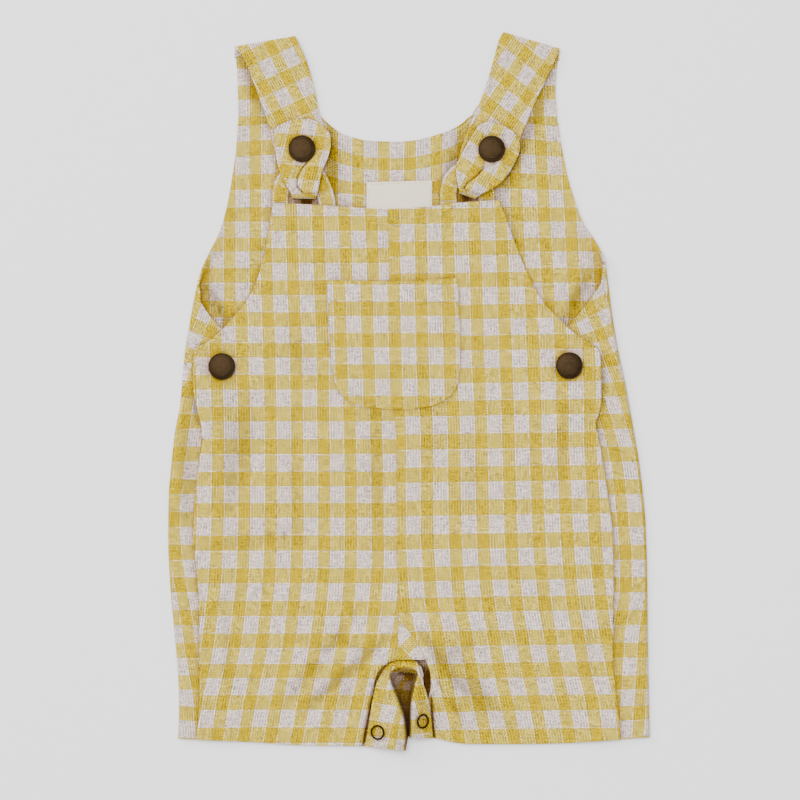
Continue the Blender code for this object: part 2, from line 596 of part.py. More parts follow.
def bend_lines(ends, low, high, outward):
    """Lines round a bend whose outermost line has the given ends, from a low to a high layer."""
    left, right = (np.array(end) * MM for end in ends)
    run = (right - left) / np.linalg.norm(right - left)
    away = np.array((-run[1], run[0])) * outward
    radius = abs(high - low) / 2
    lines = []
    for turn_deg in BEND_TURNS_DEG:
        turn = math.radians(turn_deg)
        shift = away * radius * (math.cos(turn) - 1)
        height = (low + high) / 2 + radius * math.sin(turn)
        lines.append(tuple(np.append(end + shift, height) for end in (left, right)))
    return lines


def strap_grid(strap):
    root, front, tab = strap["root"], strap["front"], strap["tab"]
    shoulder = bend_lines(strap["shoulder"], root["height"][-1], front["height"][0], 1)
    turn = bend_lines(strap["turn"], front["height"][-1], tab["height"][0], -1)
    lines = strap_lines(root) + shoulder + strap_lines(front) + turn + strap_lines(tab)
    shares = np.linspace(0, 1, STRAP_COLUMNS + 1)
    grid = np.array([[left + (right - left) * share for share in shares] for left, right in lines])
    first_tab_row = len(lines) - len(tab["height"])
    for row, (pleat, rise) in enumerate(zip(tab["pleat_share"], tab["rise"])):
        grid[first_tab_row + row, :, 2] += rise * smooth_step(
            pleat - PLEAT_HALF_SHARE, pleat + PLEAT_HALF_SHARE, shares)
    return grid, first_tab_row


def strap_loop(name, path, material):
    centre = spline(np.stack((path["across"], path["along"], path["height"]), axis=1), LOOP_ROWS)
    run = np.gradient(centre[:, :2], axis=0)
    run /= np.linalg.norm(run, axis=1, keepdims=True)
    beside = np.stack((-run[:, 1], run[:, 0], np.zeros(len(run))), axis=1) * LOOP_WIDTH / 2
    grid = np.stack((centre + beside, centre, centre - beside), axis=1)
    return add_cloth(name, grid, STRIP, material)


def placket_grid():
    """Points over the placket band: rows up the left leg, round the crotch and down the right."""
    names = ("lip", "crest", "flank", "root")
    sections = np.stack([np.stack([PLACKET[name + axis] for axis in ("_x", "_y", "_z")], axis=1)
                         for name in names], axis=1)
    rows = spline(sections, PLACKET_ROWS)
    return np.array([spline(row, PLACKET_COLUMNS) for row in rows])


def turned_solid(name, profile, segments, material):
    """A solid turned about +Z from a profile that starts and ends on the axis."""
    points = [(0, 0, profile[0][1])]
    for radius, height in profile[1:-1]:
        for step in range(segments):
            angle = 2 * math.pi * step / segments
            points.append((radius * math.cos(angle), radius * math.sin(angle), height))
    points.append((0, 0, profile[-1][1]))
    faces = []
    rings = len(profile) - 2
    for step in range(segments):
        beyond = (step + 1) % segments
        faces.append([0, 1 + beyond, 1 + step])
        for ring in range(rings - 1):
            low = 1 + ring * segments
            high = low + segments
            faces.append([low + step, low + beyond, high + beyond, high + step])
        last = 1 + (rings - 1) * segments
        faces.append([last + step, last + beyond, len(points) - 1])
    return add_solid(name, points, faces, material, sharp_deg=50)


def snap_cap(name, centre, base, material):
    """A slightly domed cap with a rolled rim."""
    share = [(0, 0), (0.90, 0), (1.0, 0.16), (1.0, 0.50), (0.94, 0.74), (0.86, 0.80), (0.80, 0.70),
             (0.72, 0.78), (0.42, 0.94), (0, 1.0)]
    profile = [(radius * CAP_RADIUS, height * CAP_HEIGHT) for radius, height in share]
    cap = turned_solid(name, profile, 24, material)
    cap.location = (centre[0] * MM, centre[1] * MM, base)
    return cap


def snap_ring(name, grid, place, material):
    """An open ring that lies on the placket band."""
    row = place["row_share"] * (len(grid) - 1)
    column = place["column_share"] * (grid.shape[1] - 1)
    near_row, near_column = int(row), int(column)
    corner = grid[near_row, near_column]
    run = grid[near_row + 1, near_column] - corner
    cross = grid[near_row, near_column + 1] - corner
    spot = corner + run * (row - near_row) + cross * (column - near_column)
    run /= np.linalg.norm(run)
    up = np.cross(cross, run)
    up /= np.linalg.norm(up)
    if up[2] < 0:
        up = -up
    cross = np.cross(up, run)
    centre = spot + up * (STRIP / 2 + 2 * ON_CLOTH + RING_WIRE)
    around, wire = 18, 6
    points = []
    for step in range(around):
        angle = 2 * math.pi * step / around
        outward = run * math.cos(angle) + cross * math.sin(angle)
        for turn in range(wire):
            bend = 2 * math.pi * turn / wire
            points.append(centre + outward * (RING_RADIUS + RING_WIRE * math.cos(bend))
                          + up * RING_WIRE * math.sin(bend))
    faces = []
    for step in range(around):
        for turn in range(wire):
            start = step * wire
            beyond = (step + 1) % around * wire
            faces.append([start + turn, beyond + turn, beyond + (turn + 1) % wire, start + (turn + 1) % wire])
    return add_solid(name, points, faces, material, sharp_deg=80)


def top_near(grid, centre, wall):
    """Highest point of a wall within a cap's radius of a place."""
    away = np.hypot(grid[..., 0] - centre[0] * MM, grid[..., 1] - centre[1] * MM)
    return grid[..., 2][away < CAP_RADIUS + 1 * MM].max() + wall / 2


def centre_on_origin(pieces):
    """Move all the pieces so that their box stands on the origin at the middle of its bottom."""
    bpy.context.view_layer.update()
    corners = np.array([piece.matrix_world @ vertex.co for piece in pieces for vertex in piece.data.vertices])
    low, high = corners.min(axis=0), corners.max(axis=0)
    for piece in pieces:
        piece.location.x -= (low[0] + high[0]) / 2
        piece.location.y -= (low[1] + high[1]) / 2
        piece.location.z -= low[2]


def main():
    for item in list(bpy.data.objects):
        bpy.data.objects.remove(item, do_unlink=True)
    gingham = finish("gingham", YELLOW, 0.85)
    pale = finish("gingham_straw", STRAW, 0.85)
    ivory = finish("label_tape", IVORY, 0.8)
    brass = finish("antique_brass", BRASS, 0.35, 1.0)

    pieces = [back_panel(gingham)]
    for name, edges, columns, side in (("front_left", left_front_edges, FRONT_COLUMNS, -1),
                                       ("front_right", right_front_edges, FRONT_COLUMNS_MIRRORED, 1)):
        grid = front_rows(FRONT_ROWS, edges, columns, side)
        pieces.append(add_cloth(name, grid, CLOTH, pale))
    pieces.append(crotch_gusset(gingham))
    pieces.append(chest_pocket(gingham))
    pieces.append(neck_label(ivory))

    for side, strap, loop in (("left", STRAP_LEFT, LOOP_LEFT), ("right", STRAP_RIGHT, LOOP_RIGHT)):
        grid, first_tab_row = strap_grid(strap)
        pieces.append(add_cloth("strap_" + side, grid, STRIP, gingham))
        pieces.append(strap_loop("strap_loop_" + side, loop, pale))
        base = top_near(grid[first_tab_row:], strap["cap"], STRIP) + ON_CLOTH
        pieces.append(snap_cap("strap_snap_" + side, strap["cap"], base, brass))
    for name, centre in SIDE_CAPS.items():
        reach = np.linspace(-CAP_RADIUS, CAP_RADIUS, 7)
        across, upward = np.meshgrid(centre[0] * MM + reach, centre[1] * MM + reach)
        base = front_height(across.ravel(), upward.ravel()).max() + CLOTH / 2 + ON_CLOTH
        pieces.append(snap_cap(name, centre, base, brass))

    band = placket_grid()
    pieces.append(add_cloth("inseam_placket", band, STRIP, gingham))
    pieces.append(snap_ring("inseam_ring_left", band, LEFT_RING, brass))
    pieces.append(snap_ring("inseam_ring_right", band, RIGHT_RING, brass))
    centre_on_origin(pieces)


main()
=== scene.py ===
# Baby's short bib dungarees in yellow and white gingham, laid flat on their back.
import math

import bpy
import numpy as np
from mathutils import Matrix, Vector
from mathutils.bvhtree import BVHTree


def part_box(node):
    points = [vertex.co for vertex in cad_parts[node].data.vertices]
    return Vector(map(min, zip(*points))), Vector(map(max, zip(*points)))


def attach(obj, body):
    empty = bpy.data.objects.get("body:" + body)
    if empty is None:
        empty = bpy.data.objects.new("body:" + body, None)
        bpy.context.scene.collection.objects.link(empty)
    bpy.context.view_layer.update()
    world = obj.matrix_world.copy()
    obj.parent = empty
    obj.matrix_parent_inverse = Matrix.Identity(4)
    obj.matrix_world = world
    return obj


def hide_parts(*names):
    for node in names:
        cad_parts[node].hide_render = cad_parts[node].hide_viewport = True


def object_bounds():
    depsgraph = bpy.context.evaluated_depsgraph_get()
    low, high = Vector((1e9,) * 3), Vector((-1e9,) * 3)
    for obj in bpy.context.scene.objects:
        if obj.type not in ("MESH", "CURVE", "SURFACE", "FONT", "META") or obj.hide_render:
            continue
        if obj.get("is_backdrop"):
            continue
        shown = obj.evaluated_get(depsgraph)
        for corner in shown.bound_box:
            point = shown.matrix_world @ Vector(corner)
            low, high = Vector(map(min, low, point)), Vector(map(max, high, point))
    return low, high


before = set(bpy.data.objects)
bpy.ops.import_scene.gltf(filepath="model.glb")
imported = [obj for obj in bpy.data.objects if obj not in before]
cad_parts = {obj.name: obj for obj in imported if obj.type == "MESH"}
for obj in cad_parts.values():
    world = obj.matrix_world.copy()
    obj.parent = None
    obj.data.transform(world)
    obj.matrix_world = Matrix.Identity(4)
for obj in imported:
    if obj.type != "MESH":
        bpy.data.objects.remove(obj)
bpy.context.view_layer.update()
bpy.ops.object.select_all(action="DESELECT")
print("frame loaded")

mm = 0.001


def table(columns, rows):  # millimetres, or as is where a name ends in Deg, Share or Count
    values = np.array(rows, dtype=float)
    return {name: values[:, place] * (1 if name.endswith(("Deg", "Share", "Count")) else mm)
            for place, name in enumerate(columns.split())}


def smoothStep(low, high, value):
    share = np.clip((value - low) / (high - low), 0, 1)
    return share * share * (3 - 2 * share)


def along(shape, column, at, by="height"):  # smooth curve through a column, with no overshoot
    order = np.argsort(shape[by])
    knots = shape[by][order]
    values = shape[column][order]
    at = np.clip(at, knots[0], knots[-1])
    step = np.diff(knots)
    slope = np.diff(values) / step
    bend = np.concatenate(([slope[0]], np.zeros(len(knots) - 2), [slope[-1]]))
    product = slope[:-1] * slope[1:]
    turning = product > 0
    bend[1:-1][turning] = 2 * product[turning] / (slope[:-1] + slope[1:])[turning]
    cell = np.clip(np.searchsorted(knots, at, side="right") - 1, 0, len(step) - 1)
    t = (at - knots[cell]) / step[cell]
    return (values[cell] * (1 + 2 * t) * (1 - t) ** 2 + values[cell + 1] * t * t * (3 - 2 * t)
            + step[cell] * (bend[cell] * t * (1 - t) ** 2 - bend[cell + 1] * t * t * (1 - t)))


def spline(points, count):  # smooth curve through rows of points
    last = len(points) - 1
    place = np.linspace(0, last, count)
    cell = np.minimum(place.astype(int), last - 1)
    t = (place - cell).reshape((-1,) + (1,) * (points.ndim - 1))
    before = points[np.maximum(cell - 1, 0)]
    start = points[cell]
    end = points[cell + 1]
    after = points[np.minimum(cell + 2, last)]
    return 0.5 * (2 * start + (end - before) * t + (2 * before - 5 * start + 4 * end - after) * t ** 2
                  + (3 * start - before - 3 * end + after) * t ** 3)


def steps(*stops):  # heights in millimetres: from, to, count, to, count ...
    rows = [np.array([stops[0]])]
    for place in range(1, len(stops), 2):
        rows.append(np.linspace(rows[-1][-1], stops[place], stops[place + 1] + 1)[1:])
    return np.concatenate(rows) * mm


def gridNormals(grid):
    down = np.gradient(grid, axis=0)
    over = np.gradient(grid, axis=1)
    normals = np.cross(over, down)
    return normals / np.maximum(np.linalg.norm(normals, axis=2, keepdims=True), 1e-12)


def distanceTo(line, across, upward):  # nearest distance to a line, and how far along it that is
    across = np.asarray(across, float)
    shape = across.shape
    px, py = across.ravel(), np.asarray(upward, float).ravel()
    start = line[:-1]
    run = np.diff(line, axis=0)
    length = np.linalg.norm(run, axis=1)
    before = np.concatenate(([0], np.cumsum(length)))[:-1]
    best = np.full(len(px), 1.0)
    place = np.zeros(len(px))
    for i in range(len(run)):
        share = ((px - start[i, 0]) * run[i, 0] + (py - start[i, 1]) * run[i, 1]) / max(length[i] ** 2, 1e-18)
        share = np.clip(share, 0, 1)
        away = np.hypot(px - start[i, 0] - share * run[i, 0], py - start[i, 1] - share * run[i, 1])
        nearer = away < best
        best[nearer] = away[nearer]
        place[nearer] = before[i] + share[nearer] * length[i]
    return best.reshape(shape), place.reshape(shape)


# Where the garment lies in the frame: the tables below are drawn round the left side snap.
drawing = {"leftSnap": (-104.4, 14.3), "rightSnap": (89.9, 14.8)}
snapLow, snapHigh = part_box("side_snap_left")
shift = np.array([(snapLow.x + snapHigh.x) / 2 - drawing["leftSnap"][0] * mm,
                  (snapLow.y + snapHigh.y) / 2 - drawing["leftSnap"][1] * mm, 0.0])


gingham = {
    "warpThreads": 20, "weftThreads": 24,      # threads in one repeat
    "warpYellow": 0.219, "weftYellow": 0.228,  # half of the yellow stripe, in repeats
    "yellow": (0.510, 0.355, 0.000, 1), "white": (0.680, 0.560, 0.495, 1),
    "tinted": (0.660, 0.530, 0.125, 1),        # white that crosses yellow
    "edgeThread": (0.78, 0.69, 0.60, 1), "edgeWidth": 1.05, "edgeShow": 0.42,  # bright, beside the yellow
    "paintedContactShade": (0.40, 0.24, 0.08, 1), "shadeReach": 0.007, "shadeDepth": 1.7,    # painted contact shade where cloth lies closely covered
    "paintedDeepShade": (0.16, 0.095, 0.035, 1),           # painted shade for cloth lying deep down
    "slub": 2.5, "warpSlub": (7.31, 4.1, 0.0), "weftSlub": (3.7, 5.93, 40.0), "cover": 1.6,
    "ribs": 0.58, "patchScale": 95, "leastPatch": 0.15, "fuzz": 2.5, "fuzzScale": 1450,
    "gapShade": 1.30, "meanCrown": 0.68, "darkest": 0.25, "lightest": 1.4,
    "wobble": 0.012, "wobbleScales": (130, 170),
    "roughness": 0.9, "sheen": 0.05, "sheenTint": (1.0, 0.86, 0.5, 1), "relief": 0.00016,
}
tape = {"colour": (0.78, 0.68, 0.53, 1), "threads": 2100, "roughness": 0.7, "relief": 0.00004}
thread = {"colour": (0.60, 0.46, 0.14, 1), "roughness": 0.8, "fuzzScale": 3800}
brass = {"dark": (0.015, 0.009, 0.004, 1), "light": (0.046, 0.029, 0.014, 1), "roughness": 0.46,
         "brush": 9000, "patchScale": 420, "rings": 5200, "relief": 0.00003}


def newMaterial(name):
    material = bpy.data.materials.new(name)
    material.use_nodes = True
    return material, material.node_tree


def feed(tree, node, values):  # each a fixed value or another node's output
    for name, value in values.items():
        if isinstance(value, (int, float, tuple)):
            node.inputs[name].default_value = value
        else:
            tree.links.new(value, node.inputs[name])


def addNode(tree, kind, values, **settings):
    node = tree.nodes.new("ShaderNode" + kind)
    for name, value in settings.items():
        setattr(node, name, value)
    feed(tree, node, values)
    return node


def setSurface(tree, values):
    feed(tree, tree.nodes["Principled BSDF"], values)


def objectPlace(tree):
    return addNode(tree, "TexCoord", {}).outputs["Object"]


def ownMap(tree, name):
    return addNode(tree, "UVMap", {}, uv_map=name).outputs["UV"]


def splitVector(tree, vector):
    return addNode(tree, "SeparateXYZ", {0: vector}).outputs


def joinVector(tree, x, y, z=0.0):
    return addNode(tree, "CombineXYZ", {0: x, 1: y, 2: z}).outputs[0]


def calc(tree, operation, *values):
    return addNode(tree, "Math", dict(enumerate(values)), operation=operation).outputs[0]


def moved(tree, value, middle, amount, base):  # a base, moved by how far a value is from its middle
    return calc(tree, "MULTIPLY_ADD", calc(tree, "SUBTRACT", value, middle), amount, base)


def limited(tree, value, low, high):
    return calc(tree, "MINIMUM", calc(tree, "MAXIMUM", value, low), high)


def noise(tree, vector, scale, detail=2.0):
    return addNode(tree, "TexNoise", {"Vector": vector, "Scale": scale, "Detail": detail}).outputs["Fac"]


def blendColour(tree, share, first, second, kind="MIX"):
    return addNode(tree, "Mix", {0: share, 6: first, 7: second}, data_type="RGBA", blend_type=kind).outputs[2]


def dimmed(tree, colour, light):
    return blendColour(tree, 1.0, colour, joinVector(tree, light, light, light), "MULTIPLY")


def addBump(tree, height, distance, strength):
    bump = addNode(tree, "Bump", {"Height": height, "Distance": distance, "Strength": strength})
    setSurface(tree, {"Normal": bump.outputs["Normal"]})


def weaveMaterial(name):  # whole numbers of the grain map lie on the middle of a yellow stripe
    material, tree = newMaterial(name)
    place = objectPlace(tree)
    grain = splitVector(tree, ownMap(tree, "grain"))
    wavy = []
    for axis, scale in enumerate(gingham["wobbleScales"]):
        wobbled = calc(tree, "MULTIPLY_ADD", noise(tree, place, scale), 2 * gingham["wobble"], grain[axis])
        wavy.append(calc(tree, "SUBTRACT", wobbled, gingham["wobble"]))
    warp = calc(tree, "MULTIPLY_ADD", wavy[0], gingham["warpThreads"], 0.5)
    weft = calc(tree, "MULTIPLY_ADD", wavy[1], gingham["weftThreads"], 0.5)
    warpNumber = calc(tree, "FLOOR", warp)
    weftNumber = calc(tree, "FLOOR", weft)
    over = calc(tree, "FLOORED_MODULO", calc(tree, "ADD", warpNumber, weftNumber), 2)

    def yarn(number, threads, half):  # is it yellow, and is it the bright thread beside the yellow
        repeats = calc(tree, "ABSOLUTE", calc(tree, "DIVIDE", number, threads))
        fromYellow = calc(tree, "PINGPONG", repeats, 0.5)
        isYellow = calc(tree, "LESS_THAN", fromYellow, half)
        isEdge = calc(tree, "MULTIPLY", calc(tree, "GREATER_THAN", fromYellow, half),
                      calc(tree, "LESS_THAN", fromYellow, half + gingham["edgeWidth"] / threads))
        return isYellow, isEdge

    def slubOf(x, y, steps):  # thick and thin places, different in each thread
        return noise(tree, joinVector(tree, calc(tree, "MULTIPLY", x, steps[0]),
                                      calc(tree, "MULTIPLY", y, steps[1]), steps[2]), 1.0, 3.0)

    def threadColour(isYellow, isEdge, crossingYellow):
        white = blendColour(tree, crossingYellow, gingham["white"], gingham["tinted"])
        colour = blendColour(tree, isYellow, white, gingham["yellow"])
        return blendColour(tree, calc(tree, "MULTIPLY", isEdge, gingham["edgeShow"]), colour,
                           gingham["edgeThread"])

    def hump(value):
        return calc(tree, "ABSOLUTE", calc(tree, "SINE", calc(tree, "MULTIPLY", value, math.pi)))

    warpYellow, warpEdge = yarn(warpNumber, gingham["warpThreads"], gingham["warpYellow"])
    weftYellow, weftEdge = yarn(weftNumber, gingham["weftThreads"], gingham["weftYellow"])
    slubWarp = slubOf(warpNumber, wavy[1], gingham["warpSlub"])
    slubWeft = slubOf(wavy[0], weftNumber, gingham["weftSlub"])
    # a thicker thread covers more of the one it crosses
    cover = calc(tree, "MULTIPLY_ADD", calc(tree, "SUBTRACT", slubWarp, slubWeft), gingham["cover"], over)
    cover = limited(tree, cover, 0.0, 1.0)
    colour = blendColour(tree, cover, threadColour(weftYellow, weftEdge, warpYellow),
                         threadColour(warpYellow, warpEdge, weftYellow))
    slub = calc(tree, "ADD", calc(tree, "MULTIPLY", slubWarp, cover),
                calc(tree, "MULTIPLY", slubWeft, calc(tree, "SUBTRACT", 1.0, cover)))
    # ribs come and go in patches
    patch = calc(tree, "MULTIPLY_ADD", noise(tree, place, gingham["patchScale"], 1.0), 3.0, -1.0)
    patch = limited(tree, patch, gingham["leastPatch"], 1.0)
    rib = calc(tree, "SUBTRACT", calc(tree, "FLOORED_MODULO", warpNumber, 2), 0.5)
    crown = calc(tree, "POWER", calc(tree, "MULTIPLY", hump(warp), hump(weft)), 0.5)
    light = moved(tree, slub, 0.5, gingham["slub"], 1.0)
    light = calc(tree, "MULTIPLY_ADD", calc(tree, "MULTIPLY", rib, patch), gingham["ribs"], light)
    light = moved(tree, noise(tree, place, gingham["fuzzScale"], 1.5), 0.5, gingham["fuzz"], light)
    # painted shade and highlight: darker in the gaps between the yarns, lighter on their crowns
    light = moved(tree, crown, gingham["meanCrown"], gingham["gapShade"], light)
    colour = dimmed(tree, colour, limited(tree, light, gingham["darkest"], gingham["lightest"]))
    # painted shade: the cloth is darkened where it lies closely covered, by an occlusion node, and where a
    # sheet's own map marks it as lying deep down
    corner = addNode(tree, "AmbientOcclusion", {"Distance": gingham["shadeReach"]}, samples=8)
    openness = calc(tree, "POWER", corner.outputs["AO"], gingham["shadeDepth"])
    depth = splitVector(tree, ownMap(tree, "hollow"))[0]
    for shadeTint in (blendColour(tree, openness, gingham["paintedContactShade"], (1, 1, 1, 1)),
                 blendColour(tree, depth, (1, 1, 1, 1), gingham["paintedDeepShade"])):
        colour = blendColour(tree, 1.0, colour, shadeTint, "MULTIPLY")
    setSurface(tree, {"Base Color": colour, "Roughness": gingham["roughness"], "Specular IOR Level": 0.08,
                      "Sheen Weight": gingham["sheen"], "Sheen Roughness": 0.5,
                      "Sheen Tint": gingham["sheenTint"]})
    addBump(tree, calc(tree, "MULTIPLY_ADD", slub, 0.8, crown), gingham["relief"], 0.9)
    return material


def tapeMaterial(name):
    material, tree = newMaterial(name)
    place = objectPlace(tree)
    split = splitVector(tree, place)
    across, upward = (calc(tree, "SINE", calc(tree, "MULTIPLY", split[axis], tape["threads"] * math.pi))
                      for axis in (0, 1))
    light = calc(tree, "MULTIPLY_ADD", noise(tree, place, 900, 3.0), 0.12, 0.94)
    setSurface(tree, {"Base Color": dimmed(tree, tape["colour"], light), "Roughness": tape["roughness"],
                      "Sheen Weight": 0.08})
    addBump(tree, calc(tree, "MULTIPLY", across, upward), tape["relief"], 0.6)
    return material


def threadMaterial(name):
    material, tree = newMaterial(name)
    light = calc(tree, "MULTIPLY_ADD", noise(tree, objectPlace(tree), thread["fuzzScale"]), 0.3, 0.85)
    setSurface(tree, {"Base Color": dimmed(tree, thread["colour"], light), "Roughness": thread["roughness"],
                      "Sheen Weight": 0.1})
    return material


def brassMaterial(name, centre):
    material, tree = newMaterial(name)
    place = objectPlace(tree)
    fromCentre = addNode(tree, "Mapping", {"Vector": place, "Location": tuple(-value for value in centre)})
    x, y, _ = splitVector(tree, fromCentre.outputs[0])
    radius = calc(tree, "SQRT", calc(tree, "ADD", calc(tree, "POWER", x, 2), calc(tree, "POWER", y, 2)))
    angle = calc(tree, "ARCTAN2", y, x)
    brushed = noise(tree, joinVector(tree, calc(tree, "MULTIPLY", radius, brass["brush"]), angle), 1.0, 3.0)
    patches = noise(tree, place, brass["patchScale"], 4.0)
    worn = calc(tree, "MULTIPLY_ADD", calc(tree, "MULTIPLY", brushed, patches), 2.2, -0.25)
    setSurface(tree, {"Base Color": blendColour(tree, worn, brass["dark"], brass["light"]), "Metallic": 1.0,
                      "Roughness": calc(tree, "MULTIPLY_ADD", patches, 0.25, brass["roughness"] - 0.1)})
    rings = calc(tree, "SINE", calc(tree, "MULTIPLY", radius, brass["rings"]))
    addBump(tree, calc(tree, "MULTIPLY_ADD", brushed, 1.2, rings), brass["relief"], 0.6)
    return material


clothFinish = weaveMaterial("yellowGingham")
tapeFinish = tapeMaterial("ivoryTape")
threadFinish = threadMaterial("sewingThread")
print("materials made")


sewing = {
    "roll": 0.42, "rollAngle": 62, "stitch": 2.3, "gap": 0.75, "radius": 0.14, "sides": 6, "widestStep": 6,
    "profile": ((-0.5, 0.35, -0.12), (-0.36, 0.92, -0.02), (0, 1.0, 0.05), (0.36, 0.92, -0.02),
                (0.5, 0.35, -0.12)),  # place along a stitch, width and lift
}
stitchPaths = {}


def sewSheet(name, grid, grain, wall, replaced, missing=None, finish=clothFinish, floor=False,
             hollow=None):
    rows, columns = grid.shape[:2]
    faces = []
    for row in range(rows - 1):
        for column in range(columns - 1):
            if missing is not None and missing[row, column]:
                continue
            corner = row * columns + column
            faces.append((corner, corner + 1, corner + columns + 1, corner + columns))
    mesh = bpy.data.meshes.new(name)
    mesh.from_pydata((grid + shift).reshape(-1, 3).tolist(), [], faces)
    numbers = np.zeros(len(mesh.loops), dtype=int)
    mesh.loops.foreach_get("vertex_index", numbers)
    # painted shade: each point's share of darkening goes into a map of its own
    depth = np.zeros((rows, columns)) if hollow is None else np.clip(hollow, 0, 1)
    for mapName, values in (("grain", grain), ("hollow", np.stack((depth, depth), axis=-1))):
        mesh.uv_layers.new(name=mapName).data.foreach_set("uv", values.reshape(-1, 2)[numbers].ravel())
    mesh.materials.append(finish)
    piece = bpy.data.objects.new(name, mesh)
    bpy.context.scene.collection.objects.link(piece)
    bpy.ops.object.select_all(action="DESELECT")
    bpy.context.view_layer.objects.active = piece
    piece.select_set(True)
    bpy.ops.object.mode_set(mode="EDIT")
    bpy.ops.mesh.select_all(action="SELECT")
    bpy.ops.mesh.delete_loose(use_verts=True, use_edges=True, use_faces=False)
    bpy.ops.object.mode_set(mode="OBJECT")
    thick = piece.modifiers.new("wall", "SOLIDIFY")
    thick.thickness = wall
    thick.offset = 0
    bpy.ops.object.modifier_apply(modifier="wall")
    rolled = piece.modifiers.new("rolled", "BEVEL")
    rolled.width = sewing["roll"] * wall
    rolled.segments = 2
    rolled.limit_method = "ANGLE"
    rolled.angle_limit = math.radians(sewing["rollAngle"])
    bpy.ops.object.modifier_apply(modifier="rolled")
    bpy.ops.object.shade_smooth()
    if floor:
        count = len(piece.data.vertices)
        points = np.zeros(count * 3)
        piece.data.vertices.foreach_get("co", points)
        points = points.reshape(-1, 3)
        points[:, 2] = np.maximum(points[:, 2], 0)
        piece.data.vertices.foreach_set("co", points.ravel())
        piece.data.update()
    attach(piece, "root")
    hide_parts(*replaced)
    piece.select_set(False)
    print(name, "sewn,", len(piece.data.polygons), "faces")
    return piece


def offsetLine(line, inward):  # a line beside a line of points, on its left for inward > 0
    line = line[::max(1, len(line) // 160)]
    run = np.gradient(line, axis=0)
    run /= np.linalg.norm(run, axis=1, keepdims=True)
    return line + np.stack((-run[:, 1], run[:, 0]), axis=1) * inward


def stitchOnTop(group, piece, line):  # a seam line seen from above, dropped onto a piece
    tree = BVHTree.FromObject(piece, bpy.context.evaluated_depsgraph_get())
    points, normals = [], []
    for x, y in line + shift[:2]:
        spot, normal, _, _ = tree.ray_cast(Vector((x, y, 0.1)), Vector((0, 0, -1)))
        if spot is not None:
            points.append(spot)
            normals.append(normal)
    if len(points) > 2:
        stitchPaths.setdefault(group, []).append((np.array(points), np.array(normals)))


def stitchOnGrid(group, grid, normals, wall):  # a line of a sheet's own points
    stitchPaths.setdefault(group, []).append((grid + normals * wall / 2 + shift, normals))


def makeStitches(group):
    points, faces = [], []
    sides, last = sewing["sides"], len(sewing["profile"]) - 1
    pitch = (sewing["stitch"] + sewing["gap"]) * mm
    for line, normals in stitchPaths[group]:
        step = np.linalg.norm(np.diff(line, axis=0), axis=1)
        travel = np.concatenate(([0], np.cumsum(step)))
        if step.max() > sewing["widestStep"] * mm:
            continue
        for number in range(int(travel[-1] / pitch)):
            begin = (number + 0.12) * pitch
            start, end = (np.array([np.interp(at, travel, line[:, axis]) for axis in range(3)])
                          for at in (begin, begin + sewing["stitch"] * mm))
            middle = begin + sewing["stitch"] * mm / 2
            up = np.array([np.interp(middle, travel, normals[:, axis]) for axis in range(3)])
            up /= max(np.linalg.norm(up), 1e-9)
            run = end - start
            size = np.linalg.norm(run)
            if size < 0.5 * sewing["stitch"] * mm:
                continue
            run /= size
            side = np.cross(run, up)
            side /= max(np.linalg.norm(side), 1e-9)
            first = len(points)
            for place, width, lift in sewing["profile"]:
                for corner in range(sides):
                    turn = 2 * math.pi * corner / sides
                    outward = (side * math.cos(turn) + up * math.sin(turn)) * width * sewing["radius"]
                    points.append((start + end) / 2 + run * place * size + (up * lift + outward) * mm)
            for ring in range(last):
                for corner in range(sides):
                    low = first + ring * sides
                    beyond = (corner + 1) % sides
                    faces.append((low + corner, low + beyond, low + sides + beyond, low + sides + corner))
            faces.append(tuple(first + sides - 1 - corner for corner in range(sides)))
            faces.append(tuple(first + last * sides + corner for corner in range(sides)))
    mesh = bpy.data.meshes.new(group)
    mesh.from_pydata([tuple(point) for point in points], [], faces)
    mesh.materials.append(threadFinish)
    mesh.shade_smooth()
    piece = bpy.data.objects.new(group, mesh)
    bpy.context.scene.collection.objects.link(piece)
    bpy.context.view_layer.objects.active = piece
    piece.select_set(True)
    bpy.ops.object.mode_set(mode="EDIT")
    bpy.ops.mesh.select_all(action="SELECT")
    bpy.ops.mesh.normals_make_consistent(inside=False)
    bpy.ops.object.mode_set(mode="OBJECT")
    piece.select_set(False)
    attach(piece, "root")
    print(group, "stitched,", len(faces) // (last * sides + 2), "stitches")


# soft folds: each a rounded crest, or a trough where rise is below 0, lower towards its ends
def ridges(shape, across, upward, fade=0.55):
    height = np.zeros(np.broadcast(across, upward).shape)
    for fromX, fromY, toX, toY, halfWidth, rise in zip(*shape.values()):
        runX, runY = toX - fromX, toY - fromY
        share = np.clip(((across - fromX) * runX + (upward - fromY) * runY) / (runX ** 2 + runY ** 2), 0, 1)
        away = np.hypot(across - fromX - share * runX, upward - fromY - share * runY)
        height = height + rise * np.exp(-(away / halfWidth) ** 2) * (
            1 - fade + fade * np.sin(math.pi * share))
    return height


def ripple(across, upward):  # the cloth's own faint unevenness
    x, y = across / mm, upward / mm
    return mm * (0.10 * np.sin(x / 7.3 + y / 19 + 0.4) * np.sin(y / 11.7 - x / 31)
                 + 0.07 * np.sin(x / 4.9 - y / 9.1 + 1.9) + 0.05 * np.sin(x / 13 + y / 3.9))


def turnedEdge(line, across, upward, width, lift=0.22, dip=0.16, pucker=0.06):  # a hem's fold and seam
    away, travel = distanceTo(line, across, upward)
    away, travel = away / mm, travel / mm
    beside = np.exp(-((away - width) / 1.5) ** 2)
    return mm * (lift * (1 - smoothStep(width - 0.5, width + 1.4, away))
                 - dip * np.exp(-((away - width) / 0.5) ** 2)
                 + pucker * beside * np.sin(travel * 2.1 + 1.3 * np.sin(travel / 7)))


